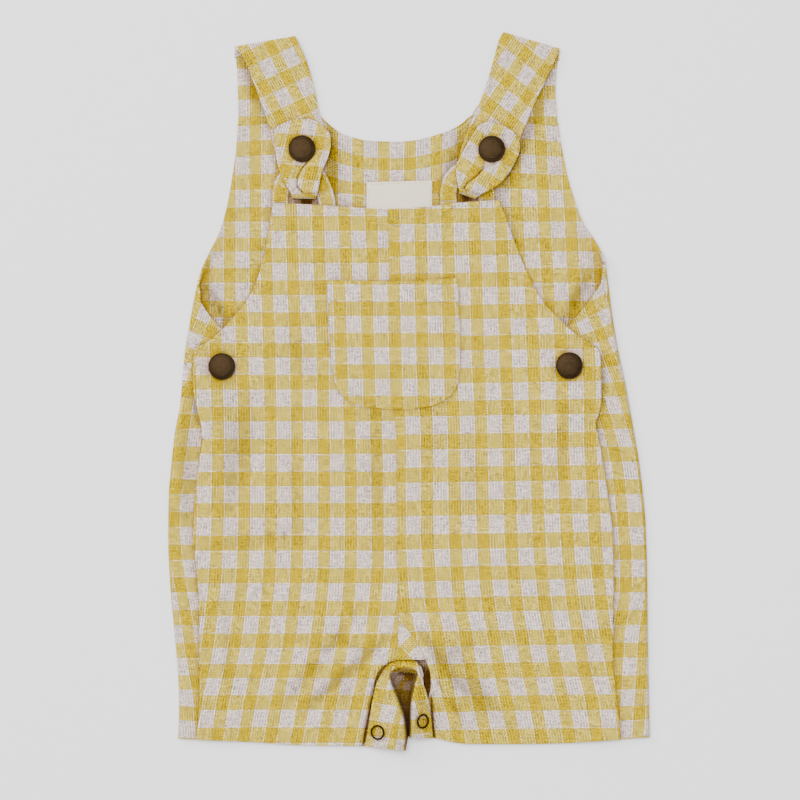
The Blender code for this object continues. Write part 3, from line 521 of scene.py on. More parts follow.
def lattice(shape, across, upward):  # straight grain from one place: repeats for each millimetre
    x, y = across / mm - shape["origin"][0], upward / mm - shape["origin"][1]
    return np.stack((x * shape["across"][0] + y * shape["across"][1],
                     x * shape["along"][0] + y * shape["along"][1]), axis=-1)


def measured(shape, across, upward):  # grain that follows the lie of the cloth
    first = along(shape["columns"], "first", upward)
    sixth = along(shape["columns"], "sixth", upward)
    leaning = upward + shape["slope"] * (across - shape["slopeFrom"] * mm)
    return np.stack((5 * (across - first) / (sixth - first), along(shape["rows"], "repeatCount", leaning)),
                    axis=-1)


back = {
    "wall": 1.1, "foldRadius": 1.3, "wingLeast": 3.0, "wingSettle": 0.75, "settleWidth": 14.0,
    "left": table("height fold wing curlDeg", [
        (-202, -128.9, -112.0, 180), (-178, -128.0, -110.4, 180), (-160, -128.5, -110.4, 180),
        (-133, -130.8, -110.8, 180), (-108, -133.0, -111.6, 180), (-84, -134.1, -113.8, 180),
        (-60, -133.9, -113.2, 180), (-41, -132.4, -111.4, 180), (-22, -130.2, -104.0, 180),
        (-7, -127.4, -95.0, 180), (18, -125.2, -94.0, 180), (30, -123.6, -99.0, 180),
        (37, -122.4, -106.4, 180), (43, -121.3, -111.4, 174), (48, -120.4, -114.6, 162),
        (53, -119.4, -117.4, 140), (58, -118.3, -119.0, 108), (63, -117.1, -118.0, 76),
        (69, -115.4, -117.0, 48), (78, -111.5, -112.0, 24), (90, -105.8, -106.0, 11),
        (102, -102.2, -102.0, 7), (119, -98.8, -99.0, 5), (139, -96.2, -96.0, 2),
        (155, -95.5, -95.5, 0), (172, -95.7, -95.7, 0), (196, -97.4, -97.4, 0)]),
    "right": table("height fold wing curlDeg", [
        (-202, 134.8, 112.0, 180), (-172, 134.1, 109.4, 180), (-139, 133.6, 108.0, 180),
        (-103, 133.2, 108.4, 180), (-72, 132.2, 107.4, 180), (-57, 130.8, 105.0, 180),
        (-38, 128.5, 101.0, 180), (-17, 124.9, 88.0, 180), (6, 120.7, 81.0, 180),
        (22, 117.2, 81.0, 180), (30, 115.8, 84.6, 180), (40, 114.1, 92.4, 180),
        (48, 113.0, 98.8, 177), (54, 112.2, 103.2, 168), (60, 111.4, 107.0, 150),
        (66, 110.7, 109.4, 122), (72, 109.6, 110.0, 88), (78, 107.6, 109.0, 56),
        (85, 104.0, 105.0, 30), (94, 98.2, 98.0, 14), (106, 93.4, 93.4, 8),
        (119, 89.3, 89.3, 5), (139, 85.1, 85.1, 2), (152, 83.4, 83.4, 0),
        (168, 82.3, 82.3, 0), (196, 84.6, 84.6, 0)]),
    "leftRoot": table("height inner", [
        (100, -46.0), (140, -47.4), (154, -49.6), (165, -57.0), (180, -61.2), (196, -63.2)]),
    "rightRoot": table("height inner", [
        (100, 31.0), (145, 33.0), (155, 35.4), (165, 42.0), (176, 46.6), (188, 50.6), (200, 53.2)]),
    "neckline": table("across height", [
        (-98, 150.0), (-62, 153.0), (-49.6, 154.0), (-44, 149.5), (-38.9, 145.8), (-32.2, 143.0),
        (-21.6, 140.8), (-4.8, 140.3), (3.6, 141.1), (17.1, 144.6), (23.8, 147.0), (30.5, 151.0),
        (35.4, 155.0), (48, 154.0), (86, 150.0)]),
    "leftShoulder": table("across height", [(-97.4, 187.1), (-62.4, 192.9)]),
    "rightShoulder": table("across height", [(51.4, 195.0), (84.4, 185.4)]),
    "slit": table("height across", [
        (-202, -1.6), (-192, -0.6), (-178, 0.3), (-169, 1.5), (-164.6, 2.4), (-158, 3.6), (-120, -2.0)]),
    "slitTop": -158.0, "slitWidth": 0.9,
    "hem": table("across height", [
        (-135, -193.6), (-118, -194.6), (-89, -196.0), (-61, -197.7), (-27, -198.4), (-12, -199.6),
        (-2.5, -201.0), (-0.8, -200.8), (-0.4, -193.0), (14, -193.8), (24, -196.0), (34, -197.1),
        (62, -197.2), (85, -196.8), (107, -195.4), (135, -193.2)]),
    "hemBase": -196.0, "legTop": -150.0, "neckRow": 147.0, "facing": 5.5,
    "floorRows": table("height repeatCount", [
        (-215, 17.85), (-100, 11.56), (0, 6.1), (50, 3.83), (120, -0.23), (205, -5.15)]),
    "floorMiddle": -13.9, "leftPitch": 14.39, "rightPitch": 14.78,
    "leftColumn": table("height across", [
        (-200.5, -115.6), (-188.2, -116.5), (-174.7, -117.3), (-161.3, -119.0), (-147.8, -121.4),
        (-134.4, -123.3), (-121.0, -125.4), (-107.5, -127.6), (-94.1, -129.8), (-80.6, -131.2),
        (-67.2, -131.4), (-53.8, -130.1), (-40.3, -128.7), (-26.9, -127.0), (-14.6, -125.2),
        (-0.6, -122.9), (10.6, -119.6), (23.5, -115.1), (35.8, -110.0), (51.5, -103.9)]),
    "rightColumn": table("height across", [
        (-200.5, 114.0), (-188.2, 114.8), (-174.7, 115.6), (-161.3, 116.5), (-147.8, 117.2),
        (-134.4, 118.2), (-121.0, 120.1), (-107.5, 121.8), (-94.1, 121.7), (-80.6, 120.9),
        (-67.2, 119.6), (-53.8, 118.4), (-40.3, 116.8), (-26.9, 113.7), (-13.4, 109.8),
        (0.0, 105.6), (13.4, 100.5), (26.9, 95.5), (51.5, 86.0)]),
    "wingRow": 20.2, "wingRowPitch": 18.31, "wingRowNumber": 5,
    "leftNumber": -8, "rightNumber": 11, "wingColumnPitch": 14.1,
    "floorFolds": table("fromX fromY toX toY halfWidth rise", [
        (-104, 92, -109, 44, 5.5, 1.1), (-98, 84, -100, 40, 2.6, -0.4), (90, 96, 101, 42, 6.0, 1.3),
        (83, 92, 92, 44, 2.8, -0.4), (-84, 168, -80, 140, 3.2, 0.7), (70, 166, 72, 134, 3.4, 0.6),
        (-30, 128, -34, 108, 3.6, 0.5), (18, 130, 24, 110, 4.0, 0.5), (-6, 137, 4, 122, 5.0, 0.3),
        (-88, 128, -92, 96, 3.6, 0.5), (74, 124, 80, 96, 3.4, 0.5), (-70, -120, -40, -60, 6.0, 0.4),
        (60, -130, 48, -70, 6.0, 0.4)]),
    "wingFolds": table("fromX fromY toX toY halfWidth rise", [
        (-121, -14, -124, -62, 2.4, -0.5), (-126, -20, -129, -70, 2.8, 0.5),
        (-124, -84, -121, -150, 3.0, 0.4),
        (-119, 30, -112, 16, 3.0, 0.6), (-117, -40, -118, -92, 1.8, 0.4), (117, -16, 122, -66, 2.6, -0.4),
        (111, -12, 117, -58, 2.4, 0.5), (124, -78, 121, -142, 3.0, 0.4), (112, 34, 103, 18, 3.2, 0.6),
        (127, -100, 129, -168, 2.6, 0.35), (116, -118, 119, -176, 2.2, -0.3)]),
    # painted shade on the back cloth, in lines: under the tabs, beside the straps, round the crotch and at
    # the armhole feet, then on the wings
    "shadeLines": table("fromX fromY toX toY halfWidth depthShare", [
        (-62, 106, -53, 106.5, 4.2, 1.3), (29, 108, 35, 109, 4.6, 1.3), (-4, -152, 12, -158, 5.0, 1.2),
        (11, -158, 8, -176, 4.0, 1.1), (0, -156, 1, -200, 5.0, 0.85), (-12, -154, -22, -172, 3.0, 0.9),
        (-96, 191, -79, 148, 2.6, 0.55), (-43.5, 149, -41, 107, 4.6, 0.60), (81, 178, 51, 109, 3.4, 0.60),
        (30, 147, 21, 120, 4.0, 0.55), (-114.5, 63, -102, 37, 3.0, 0.75), (101.5, 69, 87, 37, 3.4, 0.75)]),
    "wingShadeLines": table("fromX fromY toX toY halfWidth depthShare", [
        (-124, -4, -125, -72, 5.0, 0.26), (-119.5, -1, -117.4, -18, 2.0, 0.55),
        (109.2, 22, 108.4, -10, 2.0, 0.50), (105.6, -12, 106.0, -24, 1.8, 0.50)]),
}


def hemShift(across, sideOfSlit, height):  # moves the lowest rows so that they follow the hem
    slit = along(back["slit"], "across", back["hemBase"] * mm)
    inner = np.minimum(across, slit - 1.2 * mm) if sideOfSlit < 0 else np.maximum(across, slit + 0.9 * mm)
    weight = 1 - smoothStep(back["hemBase"] * mm, back["legTop"] * mm, height)
    return weight * (along(back["hem"], "height", inner, by="across") - back["hemBase"] * mm)


def floorGrain(across, upward):
    lean = 0.055 * (121 * mm - upward) * smoothStep(35 * mm, 75 * mm, across)
    x = (across - lean) / mm - back["floorMiddle"]
    u = np.where(x < 0, x / back["leftPitch"], x / back["rightPitch"])
    return u, along(back["floorRows"], "repeatCount", upward)


def wingGrain(outward, across, upward):
    name = "left" if outward < 0 else "right"
    column = along(back[name + "Column"], "across", upward)
    u = back[name + "Number"] - (across - column) / mm / back["wingColumnPitch"]
    lean = 0.5 * smoothStep(-10 * mm, 45 * mm, upward) * (across - outward * 122 * mm) * -outward
    return u, (back["wingRow"] * mm - upward - lean) / mm / back["wingRowPitch"] + back["wingRowNumber"]


def sideSection(side, outward, height, arcCells=8, wingCells=15):
    fold = along(side, "fold", height)
    wing = along(side, "wing", height)
    turn = math.radians(max(float(along(side, "curlDeg", height)), 0.5))
    least = back["wingLeast"] * mm
    radius = math.pi * back["foldRadius"] * mm / turn
    reach = radius if turn >= math.pi / 2 else radius * math.sin(turn) + least * math.cos(turn)
    floorEnd = fold - outward * reach
    angles = turn * np.linspace(0, 1, arcCells + 1)
    arc = np.stack((floorEnd + outward * radius * np.sin(angles), radius * (1 - np.cos(angles))), axis=1)
    length = max(least, outward * (arc[-1, 0] - wing)) if turn > math.pi / 2 else least
    run = length * np.linspace(0, 1, wingCells + 1)[1:]
    sink = back["wingSettle"] * mm * smoothStep(1 * mm, back["settleWidth"] * mm, run) * smoothStep(
        150, 178, math.degrees(turn))
    strip = np.stack((arc[-1, 0] + outward * run * math.cos(turn),
                      arc[-1, 1] + run * math.sin(turn) - sink), axis=1)
    # the grain goes on round the fold
    floorU, floorV = floorGrain(floorEnd, height)
    travel = np.concatenate((radius * angles, radius * turn + run)) / mm
    onU = floorU + outward * travel / (back["leftPitch"] if outward < 0 else back["rightPitch"])
    topU, topV = wingGrain(outward, np.concatenate((arc[:, 0], strip[:, 0])), height)
    edgeU, edgeV = wingGrain(outward, arc[-1, 0], height)
    share = np.concatenate((angles / turn, np.ones(wingCells)))
    topU = np.where(share < 1, floorU + (edgeU - floorU) * share, topU)
    topV = np.where(share < 1, floorV + (edgeV - floorV) * share, topV)
    turned = smoothStep(70, 150, math.degrees(turn))
    grain = np.stack((onU + (topU - onU) * turned, floorV + (topV - floorV) * turned), axis=1)
    path = np.concatenate((arc, strip))
    wingWeight = np.concatenate((np.zeros(arcCells + 1), smoothStep(0, 3 * mm, run) * turned))
    return path[::-1], grain[::-1], wingWeight[::-1], floorEnd


def rootRow(top, side, root, shoulder, share):
    place = (top[:, 0] - top[0, 0]) / (top[-1, 0] - top[0, 0])
    across = top[:, 0]
    for _ in range(3):
        rise = along(shoulder, "height", across, by="across") - top[:, 1]
        upward = top[:, 1] + share * rise
        across = (1 - place) * along(side, "fold", upward) + place * along(root, "inner", upward)
    return np.stack((across, upward), axis=1)


def makeBack(rootCells=22, neckCells=16, rootRows=26):
    heights = steps(-196, -158, 22, 20, 104, 96, 56, 147, 26)
    rows, grains, weights = [], [], []
    for height in heights:
        left, leftGrain, leftWing, leftFloor = sideSection(back["left"], -1, height)
        right, rightGrain, rightWing, rightFloor = sideSection(back["right"], 1, height)
        neckLeft = along(back["leftRoot"], "inner", height)
        neckRight = along(back["rightRoot"], "inner", height)
        slit = along(back["slit"], "across", height)
        halfGap = back["slitWidth"] * mm / 2 + 3 * mm * smoothStep(back["slitTop"] * mm, -100 * mm, height)
        floor = np.concatenate((
            np.linspace(leftFloor, neckLeft, rootCells + 1)[1:],
            np.linspace(neckLeft, slit - halfGap, neckCells + 1)[1:],
            np.linspace(slit + halfGap, neckRight, neckCells + 1),
            np.linspace(neckRight, rightFloor, rootCells + 1)[1:-1]))
        across = np.concatenate((left[:, 0], floor, right[::-1, 0]))
        lift = np.concatenate((left[:, 1], np.zeros(len(floor)), right[::-1, 1]))
        neckWeight = smoothStep(92 * mm, back["neckRow"] * mm, height)
        upward = height + neckWeight * (along(back["neckline"], "height", across, by="across")
                                        - back["neckRow"] * mm)
        upward = upward + np.where(across < slit, hemShift(across, -1, height), hemShift(across, 1, height))
        floorU, floorV = floorGrain(floor, height + np.zeros(len(floor)))
        # under the front the floor's columns are eased to meet the wings' at the folds
        hidden = 1 - smoothStep(0, 50 * mm, height)
        edgeLeft, edgeRight = floorGrain(leftFloor, height)[0], floorGrain(rightFloor, height)[0]
        meetLeft, meetRight = wingGrain(-1, left[-1, 0], height)[0], wingGrain(1, right[-1, 0], height)[0]
        stretch = np.where(floorU < 0, 1 + hidden * ((meetLeft + 0.15) / edgeLeft - 1),
                           1 + hidden * ((meetRight - 0.15) / edgeRight - 1))
        grain = np.concatenate((leftGrain, np.stack((floorU * stretch, floorV), axis=1), rightGrain[::-1]))
        rows.append(np.stack((across, upward, back["wall"] * mm / 2 + lift), axis=1))
        grains.append(grain)
        weights.append(np.concatenate((leftWing, -np.ones(len(floor)), rightWing[::-1])))

    block = len(left) + rootCells
    columns = len(rows[0])
    top = rows[-1]
    for share in np.linspace(0, 1, rootRows + 1)[1:]:
        row = top.copy()
        row[:block, :2] = rootRow(top[:block], back["left"], back["leftRoot"], back["leftShoulder"], share)
        row[columns - block:, :2] = rootRow(top[columns - block:][::-1], back["right"], back["rightRoot"],
                                            back["rightShoulder"], share)[::-1]
        row[:, 2] = back["wall"] * mm / 2
        rows.append(row)
        grains.append(np.stack(floorGrain(row[:, 0], row[:, 1]), axis=1))
        weights.append(-np.ones(columns))
    grid, grain, weight = np.array(rows), np.array(grains), np.array(weights)
    grain[len(heights) - 1:] = np.stack(floorGrain(grid[len(heights) - 1:, :, 0],
                                                   grid[len(heights) - 1:, :, 1]), axis=-1)
    onFloor = weight < 0
    x, y = grid[..., 0], grid[..., 1]
    floorLift = np.maximum(ridges(back["floorFolds"], x, y) + ripple(x, y), 0)
    wingLift = ridges(back["wingFolds"], x, y) + ripple(x, y)
    grid[..., 2] += np.where(onFloor, floorLift, wingLift * np.clip(weight, 0, 1))

    missing = np.zeros((len(rows) - 1, columns - 1), dtype=bool)
    legs = np.count_nonzero(heights <= back["slitTop"] * mm + 1e-9) - 1
    missing[:legs, block + neckCells - 1] = True
    missing[len(heights) - 1:, block - 1:columns - block] = True

    # the faced edges of the neckline and the armholes
    neckRow = grid[len(heights) - 1, block - 1:columns - block + 1, :2]
    leftEdge = grid[len(heights) - 90:, 0, :2]
    rightEdge = grid[len(heights) - 90:, -1, :2]
    leftInner = grid[len(heights) - 1:, block - 1, :2]
    rightInner = grid[len(heights) - 1:, columns - block, :2]
    facing = np.concatenate((leftInner[::-1], neckRow, rightInner))
    for line in (facing, leftEdge, rightEdge):
        turned = turnedEdge(line, x, y, back["facing"], 0.2, 0.1, 0.05)
        grid[..., 2] += np.where(onFloor, np.maximum(turned, 0), 0)
    # painted shade from the lines above
    hollow = np.where(onFloor, ridges(back["shadeLines"], x, y), ridges(back["wingShadeLines"], x, y))
    piece = sewSheet("backCloth", grid, grain, back["wall"] * mm, ["back"], missing, floor=True,
                     hollow=hollow)
    inward = back["facing"] * mm
    for line, side in ((facing, -1), (leftEdge[24:], -1), (rightEdge[30:], 1)):
        stitchOnTop("backStitching", piece, offsetLine(line, side * inward))


makeBack()


front = {
    "wall": 1.1, "seam": 0.08, "loft": 0.55, "sideLift": 1.85, "sideLiftWidth": 25.0, "edgeLift": 0.75,
    "bibLift": 1.2, "crotchLift": 4.6, "crotch": (-3.0, -150.0), "crotchSpread": (26.0, 20.0),
    "left": table("height edge", [
        (-202, -118.8), (-167, -116.8), (-139, -116.8), (-116, -117.0), (-106, -118.0), (-91, -119.2),
        (-84, -120.4), (-64, -119.6), (-43, -117.7), (-32, -115.9), (-24, -115.2), (-20, -115.6),
        (-13, -117.2), (-6, -118.8), (2, -120.3), (20, -120.3), (23.4, -119.9), (24.6, -118.4),
        (26, -116.0), (28, -112.3), (34.4, -104.6), (42.2, -97.5), (51.1, -90.4), (62.7, -84.7),
        (76.7, -80.9), (89.6, -78.1), (99.1, -76.7), (106, -75.0)]),
    "right": table("height edge", [
        (-202, 119.2), (-193, 118.4), (-167, 115.8), (-151, 114.2), (-130, 114.3), (-103, 114.7),
        (-81, 114.2), (-54, 110.9), (-34, 107.8), (-25, 106.1), (-20, 104.8), (-17, 104.6),
        (-12, 106.4), (-5, 107.8), (8, 107.8), (19, 107.4), (22.6, 106.6), (24.6, 105.2),
        (29.1, 98.1), (35.6, 89.5), (51.7, 74.5), (67.5, 66.1), (81.8, 60.2), (95.2, 54.6),
        (103.6, 51.2), (108, 49.4)]),
    "bibTop": table("across height", [
        (-76, 105.7), (-66, 105.5), (-40, 103.9), (-11.5, 102.5), (17.6, 104.6), (27.7, 106.0), (51, 107.5)]),
    "bibBase": 105.0,
    "centreSeam": table("height across", [
        (-150, -7.0), (-144, -5.9), (-116, -5.6), (-94, -6.4), (-32, -6.7), (-10, -8.1), (40, -9.8),
        (80, -11.2), (108, -11.5)]),
    "leftInseam": table("height across", [
        (-202, -18.0), (-182, -17.0), (-172, -18.4), (-164, -19.6), (-160, -18.8), (-156, -16.9),
        (-152.6, -13.4), (-150.6, -9.0), (-149.8, -7.2)]),
    "rightInseam": table("height across", [
        (-202, 9.0), (-182, 9.4), (-172, 11.2), (-165, 12.7), (-158, 12.3), (-152, 10.4), (-148.6, 9.3)]),
    "gussetSide": table("height across", [(-148.6, 9.3), (-138.0, 3.2), (-128.0, -5.3)]),
    "folds": table("fromX fromY toX toY halfWidth rise", [
        (-19, -146, -50, -124, 7.0, 1.2), (-32, -158, -66, -163, 6.5, 1.1), (14, -143, 46, -122, 7.0, 1.2),
        (21, -165, 34, -182, 5.0, 1.7), (-108, -2, -66, -22, 9.0, 0.8), (92, -4, 52, -28, 9.0, 0.9),
        (-86, -60, -70, -132, 10.0, 0.7), (84, -70, 72, -140, 10.0, 0.8)]),
    "leftGrain": {
        "columns": table("height first sixth", [
            (-200.5, -108.4, -33.9), (-188.2, -106.2, -31.5), (-174.7, -104.1, -28.7),
            (-161.3, -101.2, -25.7),
            (-147.8, -98.4, -23.0), (-134.4, -96.3, -20.7), (-121.0, -94.8, -19.0), (-107.5, -93.4, -17.9),
            (-94.1, -92.6, -17.2), (-67.2, -92.0, -17.3), (-40.3, -91.8, -17.6), (-13.4, -92.0, -18.3),
            (23.5, -93.0, -18.2), (53.8, -94.0, -19.5), (94.1, -95.4, -20.7), (107.5, -95.8, -21.3)]),
        "rows": table("height repeatCount", [
            (-211.0, 13), (-192.1, 12), (-173.8, 11), (-156.2, 10), (-139.3, 9), (-121.2, 8), (-102.9, 7),
            (-84.6, 6), (-66.2, 5), (-48.7, 4), (-30.5, 3), (-12.3, 2), (5.4, 1), (23.4, 0), (40.6, -1),
            (58.4, -2), (76.4, -3), (94.4, -4), (112.3, -5)]),
        "slope": 0.0, "slopeFrom": -60.0},
    "rightGrain": {
        "columns": table("height first sixth", [
            (-200.5, 29.4, 106.7), (-188.2, 26.9, 104.8), (-174.7, 23.5, 103.0), (-161.3, 20.6, 99.8),
            (-147.8, 17.9, 97.0), (-134.4, 16.1, 94.6), (-121.0, 13.4, 92.5), (-107.5, 12.0, 91.0),
            (-94.1, 11.2, 89.7), (-80.6, 10.5, 88.8), (-53.8, 10.4, 87.6), (-26.9, 10.4, 86.4),
            (0.0, 9.0, 86.1), (23.5, 7.8, 85.3), (53.8, 7.6, 84.0), (94.1, 6.7, 82.0), (107.5, 6.4, 81.5)]),
        "rows": table("height repeatCount", [
            (-212.0, 13), (-193.2, 12), (-174.4, 11), (-155.8, 10), (-137.8, 9), (-118.6, 8), (-101.4, 7),
            (-83.3, 6), (-64.4, 5), (-45.8, 4), (-27.3, 3), (-8.8, 2), (9.4, 1), (27.8, 0), (45.1, -1),
            (63.0, -2), (80.9, -3), (99.1, -4), (117.0, -5)]),
        "slope": -0.015, "slopeFrom": 51.0},
    "creases": table("fromX fromY toX toY halfWidth rise", [
        (-101, 0, -100, -60, 5.4, -0.34), (-90, -4, -93, -52, 6.0, -0.44), (-28, -122, -68, -172, 3.8, -0.6),
        (-12, -137, -58, -178, 3.4, -0.75), (7, -134, 40, -178, 3.8, -0.75), (26, -146, 52, -186, 4.6, -0.5),
        (-116, -87, -52, -78, 5.0, -0.32), (-18, -8, -18, -82, 6.6, -0.34), (-68, 36, -55, 8, 7.0, -0.32),
        (-96, -20, -102, -76, 4.6, -0.25), (-82, 0, -84, -60, 3.0, 0.30), (14, -12, 14, -78, 6.0, -0.24),
        (-10, -20, -9, -84, 2.6, 0.2), (-30, 34, -34, -6, 3.2, 0.3), (-62, 92, -58, 66, 3.0, 0.35),
        (-70, 60, -74, 36, 2.6, 0.3), (-46, -18, -52, -62, 3.6, 0.35), (-66, -30, -62, -84, 3.4, -0.3),
        (-26, -138, -44, -116, 2.4, 0.6), (-22, -146, -40, -138, 2.0, -0.5), (-33, -150, -60, -148, 2.2, 0.5),
        (-30, -164, -44, -178, 2.4, -0.45), (-38, -170, -54, -190, 3.0, 0.4),
        (-88, -120, -80, -172, 3.6, 0.4), (-104, -112, -100, -170, 2.8, -0.35),
        (-64, -176, -60, -194, 3.0, 0.3), (-12, -128, -22, -112, 2.0, 0.4),
        (16, -40, 20, -96, 3.0, 0.3), (34, -24, 36, -70, 3.4, -0.3), (62, -20, 58, -74, 3.6, 0.35),
        (88, -8, 84, -60, 3.0, -0.4), (97, -4, 95, -52, 2.6, 0.35), (14, -136, 30, -116, 2.2, 0.6),
        (18, -150, 40, -140, 2.0, -0.45), (22, -156, 48, -160, 2.4, 0.5), (24, -172, 30, -184, 1.8, -0.9),
        (27, -168, 37, -176, 2.4, 0.6), (70, -110, 78, -170, 3.6, 0.35), (98, -112, 102, -168, 2.8, -0.3),
        (46, -176, 52, -194, 3.0, 0.3), (38, 92, 34, 66, 3.0, 0.3), (58, 52, 70, 34, 3.0, 0.3),
        (8, 94, 10, 72, 3.0, 0.25), (-24, 92, -28, 72, 2.8, 0.3), (88, 22, 74, 30, 3.0, 0.3)]),
    "lips": table("fromX fromY toX toY halfWidth rise", [
        (-13.0, -149.5, -18.2, -156, 1.5, 1.0), (-18.2, -156, -21.6, -166.5, 1.5, 1.1),
        (-21.6, -166.5, -24.4, -181, 1.5, 1.0), (-24.4, -181, -27.2, -197.7, 1.4, 0.8),
        (13.8, -156, 14.6, -168, 1.4, 0.9), (14.6, -168, 16.0, -192, 1.4, 0.5),
        (17.5, -167, 27.0, -176, 3.0, 1.2)]),
    # painted shade along the grooves; the same last column also sets how deep each groove is cut
    "grooves": table("fromX fromY toX toY halfWidth depthShare", [
        (-10.8, -151, -15.6, -157, 1.1, 1.1), (-15.6, -157, -18.9, -167, 1.2, 1.3),
        (-18.9, -167, -22.2, -181, 1.2, 1.7), (-22.2, -181, -25.4, -197.9, 1.1, 1.7),
        (12.6, -170, 14.6, -196, 0.9, 1.7), (16.2, -161, 19.6, -168, 0.9, 0.75),
        (-30, -126, -64, -170, 3.2, 0.08), (-15, -140, -54, -174, 2.4, 0.18), (8, -136, 38, -176, 3.0, 0.14),
        (32, -152, 50, -182, 3.4, 0.16), (24, -166, 33, -181, 1.6, 0.20),
        (-9.4, -150, -1, -149.8, 0.8, 0.5)]),
    "creaseScale": 1.7, "grooveDepth": 0.7, "troughShadeShare": 0.36, "troughShadeScale": 0.40, "troughShadePower": 1.4,
    "armholeHem": 4.6, "legHem": 9.0, "bibHem": 5.0, "placketFoot": -24, "seamFoot": -150,
    "bead": 0.22, "proud": 0.12, "seamDip": 0.45, "seamPuff": 0.16, "snapDip": 0.35,
}
frontShares = np.linspace(0, 1, 105)  # closer together at the edges
frontShares -= 0.6 * np.sin(2 * math.pi * frontShares) / (2 * math.pi)


def frontHeight(across, upward):  # middle of the front's wall: over the wings, the loops and the crotch
    height = front["wall"] * 1.5 * mm + front["loft"] * mm
    for name, outward in (("left", -1), ("right", 1)):
        insideWing = outward * (along(back[name], "wing", upward) - across)
        insideFold = outward * (along(back[name], "fold", upward) - across)
        height = height + front["sideLift"] * mm * (
            1 - smoothStep(3 * mm, (3 + front["sideLiftWidth"]) * mm, insideWing))
        height = height + front["edgeLift"] * mm * (
            1 - smoothStep(1 * mm, back["settleWidth"] * mm, insideFold))
    height = height + front["bibLift"] * mm * smoothStep(86 * mm, 97 * mm, upward)
    height = height + front["crotchLift"] * mm * np.exp(
        -((across - front["crotch"][0] * mm) / (front["crotchSpread"][0] * mm)) ** 2
        - ((upward - front["crotch"][1] * mm) / (front["crotchSpread"][1] * mm)) ** 2)
    return height + ridges(front["folds"], across, upward, fade=0)


def frontRelief(across, upward):  # creases under the pocket as well, so that it lies on them
    return (front["creaseScale"] * ridges(front["creases"], across, upward) + ripple(across, upward)
            + ridges(front["lips"], across, upward)
            - front["grooveDepth"] * mm * np.clip(ridges(front["grooves"], across, upward), 0, 1))


def frontPaintedShade(across, upward):  # painted shade: the grooves and the troughs of the creases are darkened
    trough = np.maximum(-ridges(front["creases"], across, upward), 0) / (front["troughShadeScale"] * mm)
    return (np.clip(ridges(front["grooves"], across, upward), 0, 1)
            + front["troughShadeShare"] * (1 - np.exp(-trough ** front["troughShadePower"])))


def frontRows(heights, edges, sideOfSlit):
    rows = []
    for height in heights:
        outer, inner = edges(height)
        across = outer + (inner - outer) * frontShares
        upward = np.full(len(across), height)
        upward += smoothStep(80 * mm, front["bibBase"] * mm, height) * (
            along(front["bibTop"], "height", across, by="across") - front["bibBase"] * mm)
        upward += hemShift(across, sideOfSlit, height)
        lift = frontHeight(across, upward) + frontRelief(across, upward)
        rows.append(np.stack((across, upward, lift), axis=1))
    return np.array(rows)


def leftEdges(height):
    edge = along(front["left"], "edge", height)
    if height > front["leftInseam"]["height"][-1]:
        return edge, along(front["centreSeam"], "across", height) - front["seam"] * mm / 2
    return edge, along(front["leftInseam"], "across", height)


def rightEdges(height):
    edge = along(front["right"], "edge", height)
    if height > front["gussetSide"]["height"][-1]:
        return along(front["centreSeam"], "across", height) + front["seam"] * mm / 2, edge
    if height > front["rightInseam"]["height"][-1]:
        return along(front["gussetSide"], "across", height) + front["seam"] * mm, edge
    return along(front["rightInseam"], "across", height), edge


def makeFront(name, node, edges, sideOfSlit, grainName):
    heights = steps(-196, -146, 40, 16, 116, 34, 40, 105, 52)
    grid = frontRows(heights, edges, sideOfSlit)
    x, y = grid[..., 0], grid[..., 1]
    outer = grid[:, 0 if sideOfSlit < 0 else -1, :2]
    inner = grid[:, -1 if sideOfSlit < 0 else 0, :2]
    snapRow = np.count_nonzero(heights < front["placketFoot"] * mm)  # the armhole's hem starts here
    armhole, sideSeam = outer[snapRow:], outer[:snapRow + 1]
    seamRow = np.count_nonzero(heights < front["seamFoot"] * mm)
    top, foot = grid[-1, :, :2], grid[0, :, :2]
    lift = turnedEdge(armhole, x, y, front["armholeHem"])
    lift += turnedEdge(top, x, y, front["bibHem"], 0.2, 0.12)
    lift += turnedEdge(foot, x, y, front["legHem"], 0.18, 0.12, 0.07)
    away, _ = distanceTo(sideSeam, x, y)
    lift += front["proud"] * mm * np.exp(-(away / (1.6 * mm)) ** 2)  # the folded side stands a little proud
    for line in (armhole, top, sideSeam):
        away, _ = distanceTo(line, x, y)
        lift += front["bead"] * mm * np.exp(-((away / mm - 0.7) / 0.5) ** 2)
    away, travel = distanceTo(inner[seamRow:], x, y)
    lift -= front["seamDip"] * mm * np.exp(-(away / (1.1 * mm)) ** 2)  # the seam pulls the cloth down
    lift += front["seamPuff"] * mm * np.exp(-((away - 3.2 * mm) / (1.4 * mm)) ** 2) * (
        1 + 0.5 * np.sin(travel / mm * 0.9 + 2 * np.sin(travel / mm / 9)))
    snap = drawing["leftSnap" if sideOfSlit < 0 else "rightSnap"]
    fromSnap = np.hypot(x - snap[0] * mm, y - snap[1] * mm) / mm
    lift -= front["snapDip"] * mm * (1 - smoothStep(7.0, 11.0, fromSnap))
    grid[..., 2] += lift
    grain = measured(front[grainName], x, y)
    piece = sewSheet(name, grid, grain, front["wall"] * mm, [node], hollow=frontPaintedShade(x, y))
    stitching = name.replace("Cloth", "Stitching")
    stitchOnTop(stitching, piece, offsetLine(armhole, sideOfSlit * front["armholeHem"] * mm))
    stitchOnTop(stitching, piece, offsetLine(top[3:-1], -front["bibHem"] * mm))
    stitchOnTop(stitching, piece, offsetLine(foot[1:-1], front["legHem"] * mm))


makeFront("frontLeftCloth", "front_left", leftEdges, -1, "leftGrain")
makeFront("frontRightCloth", "front_right", rightEdges, 1, "rightGrain")

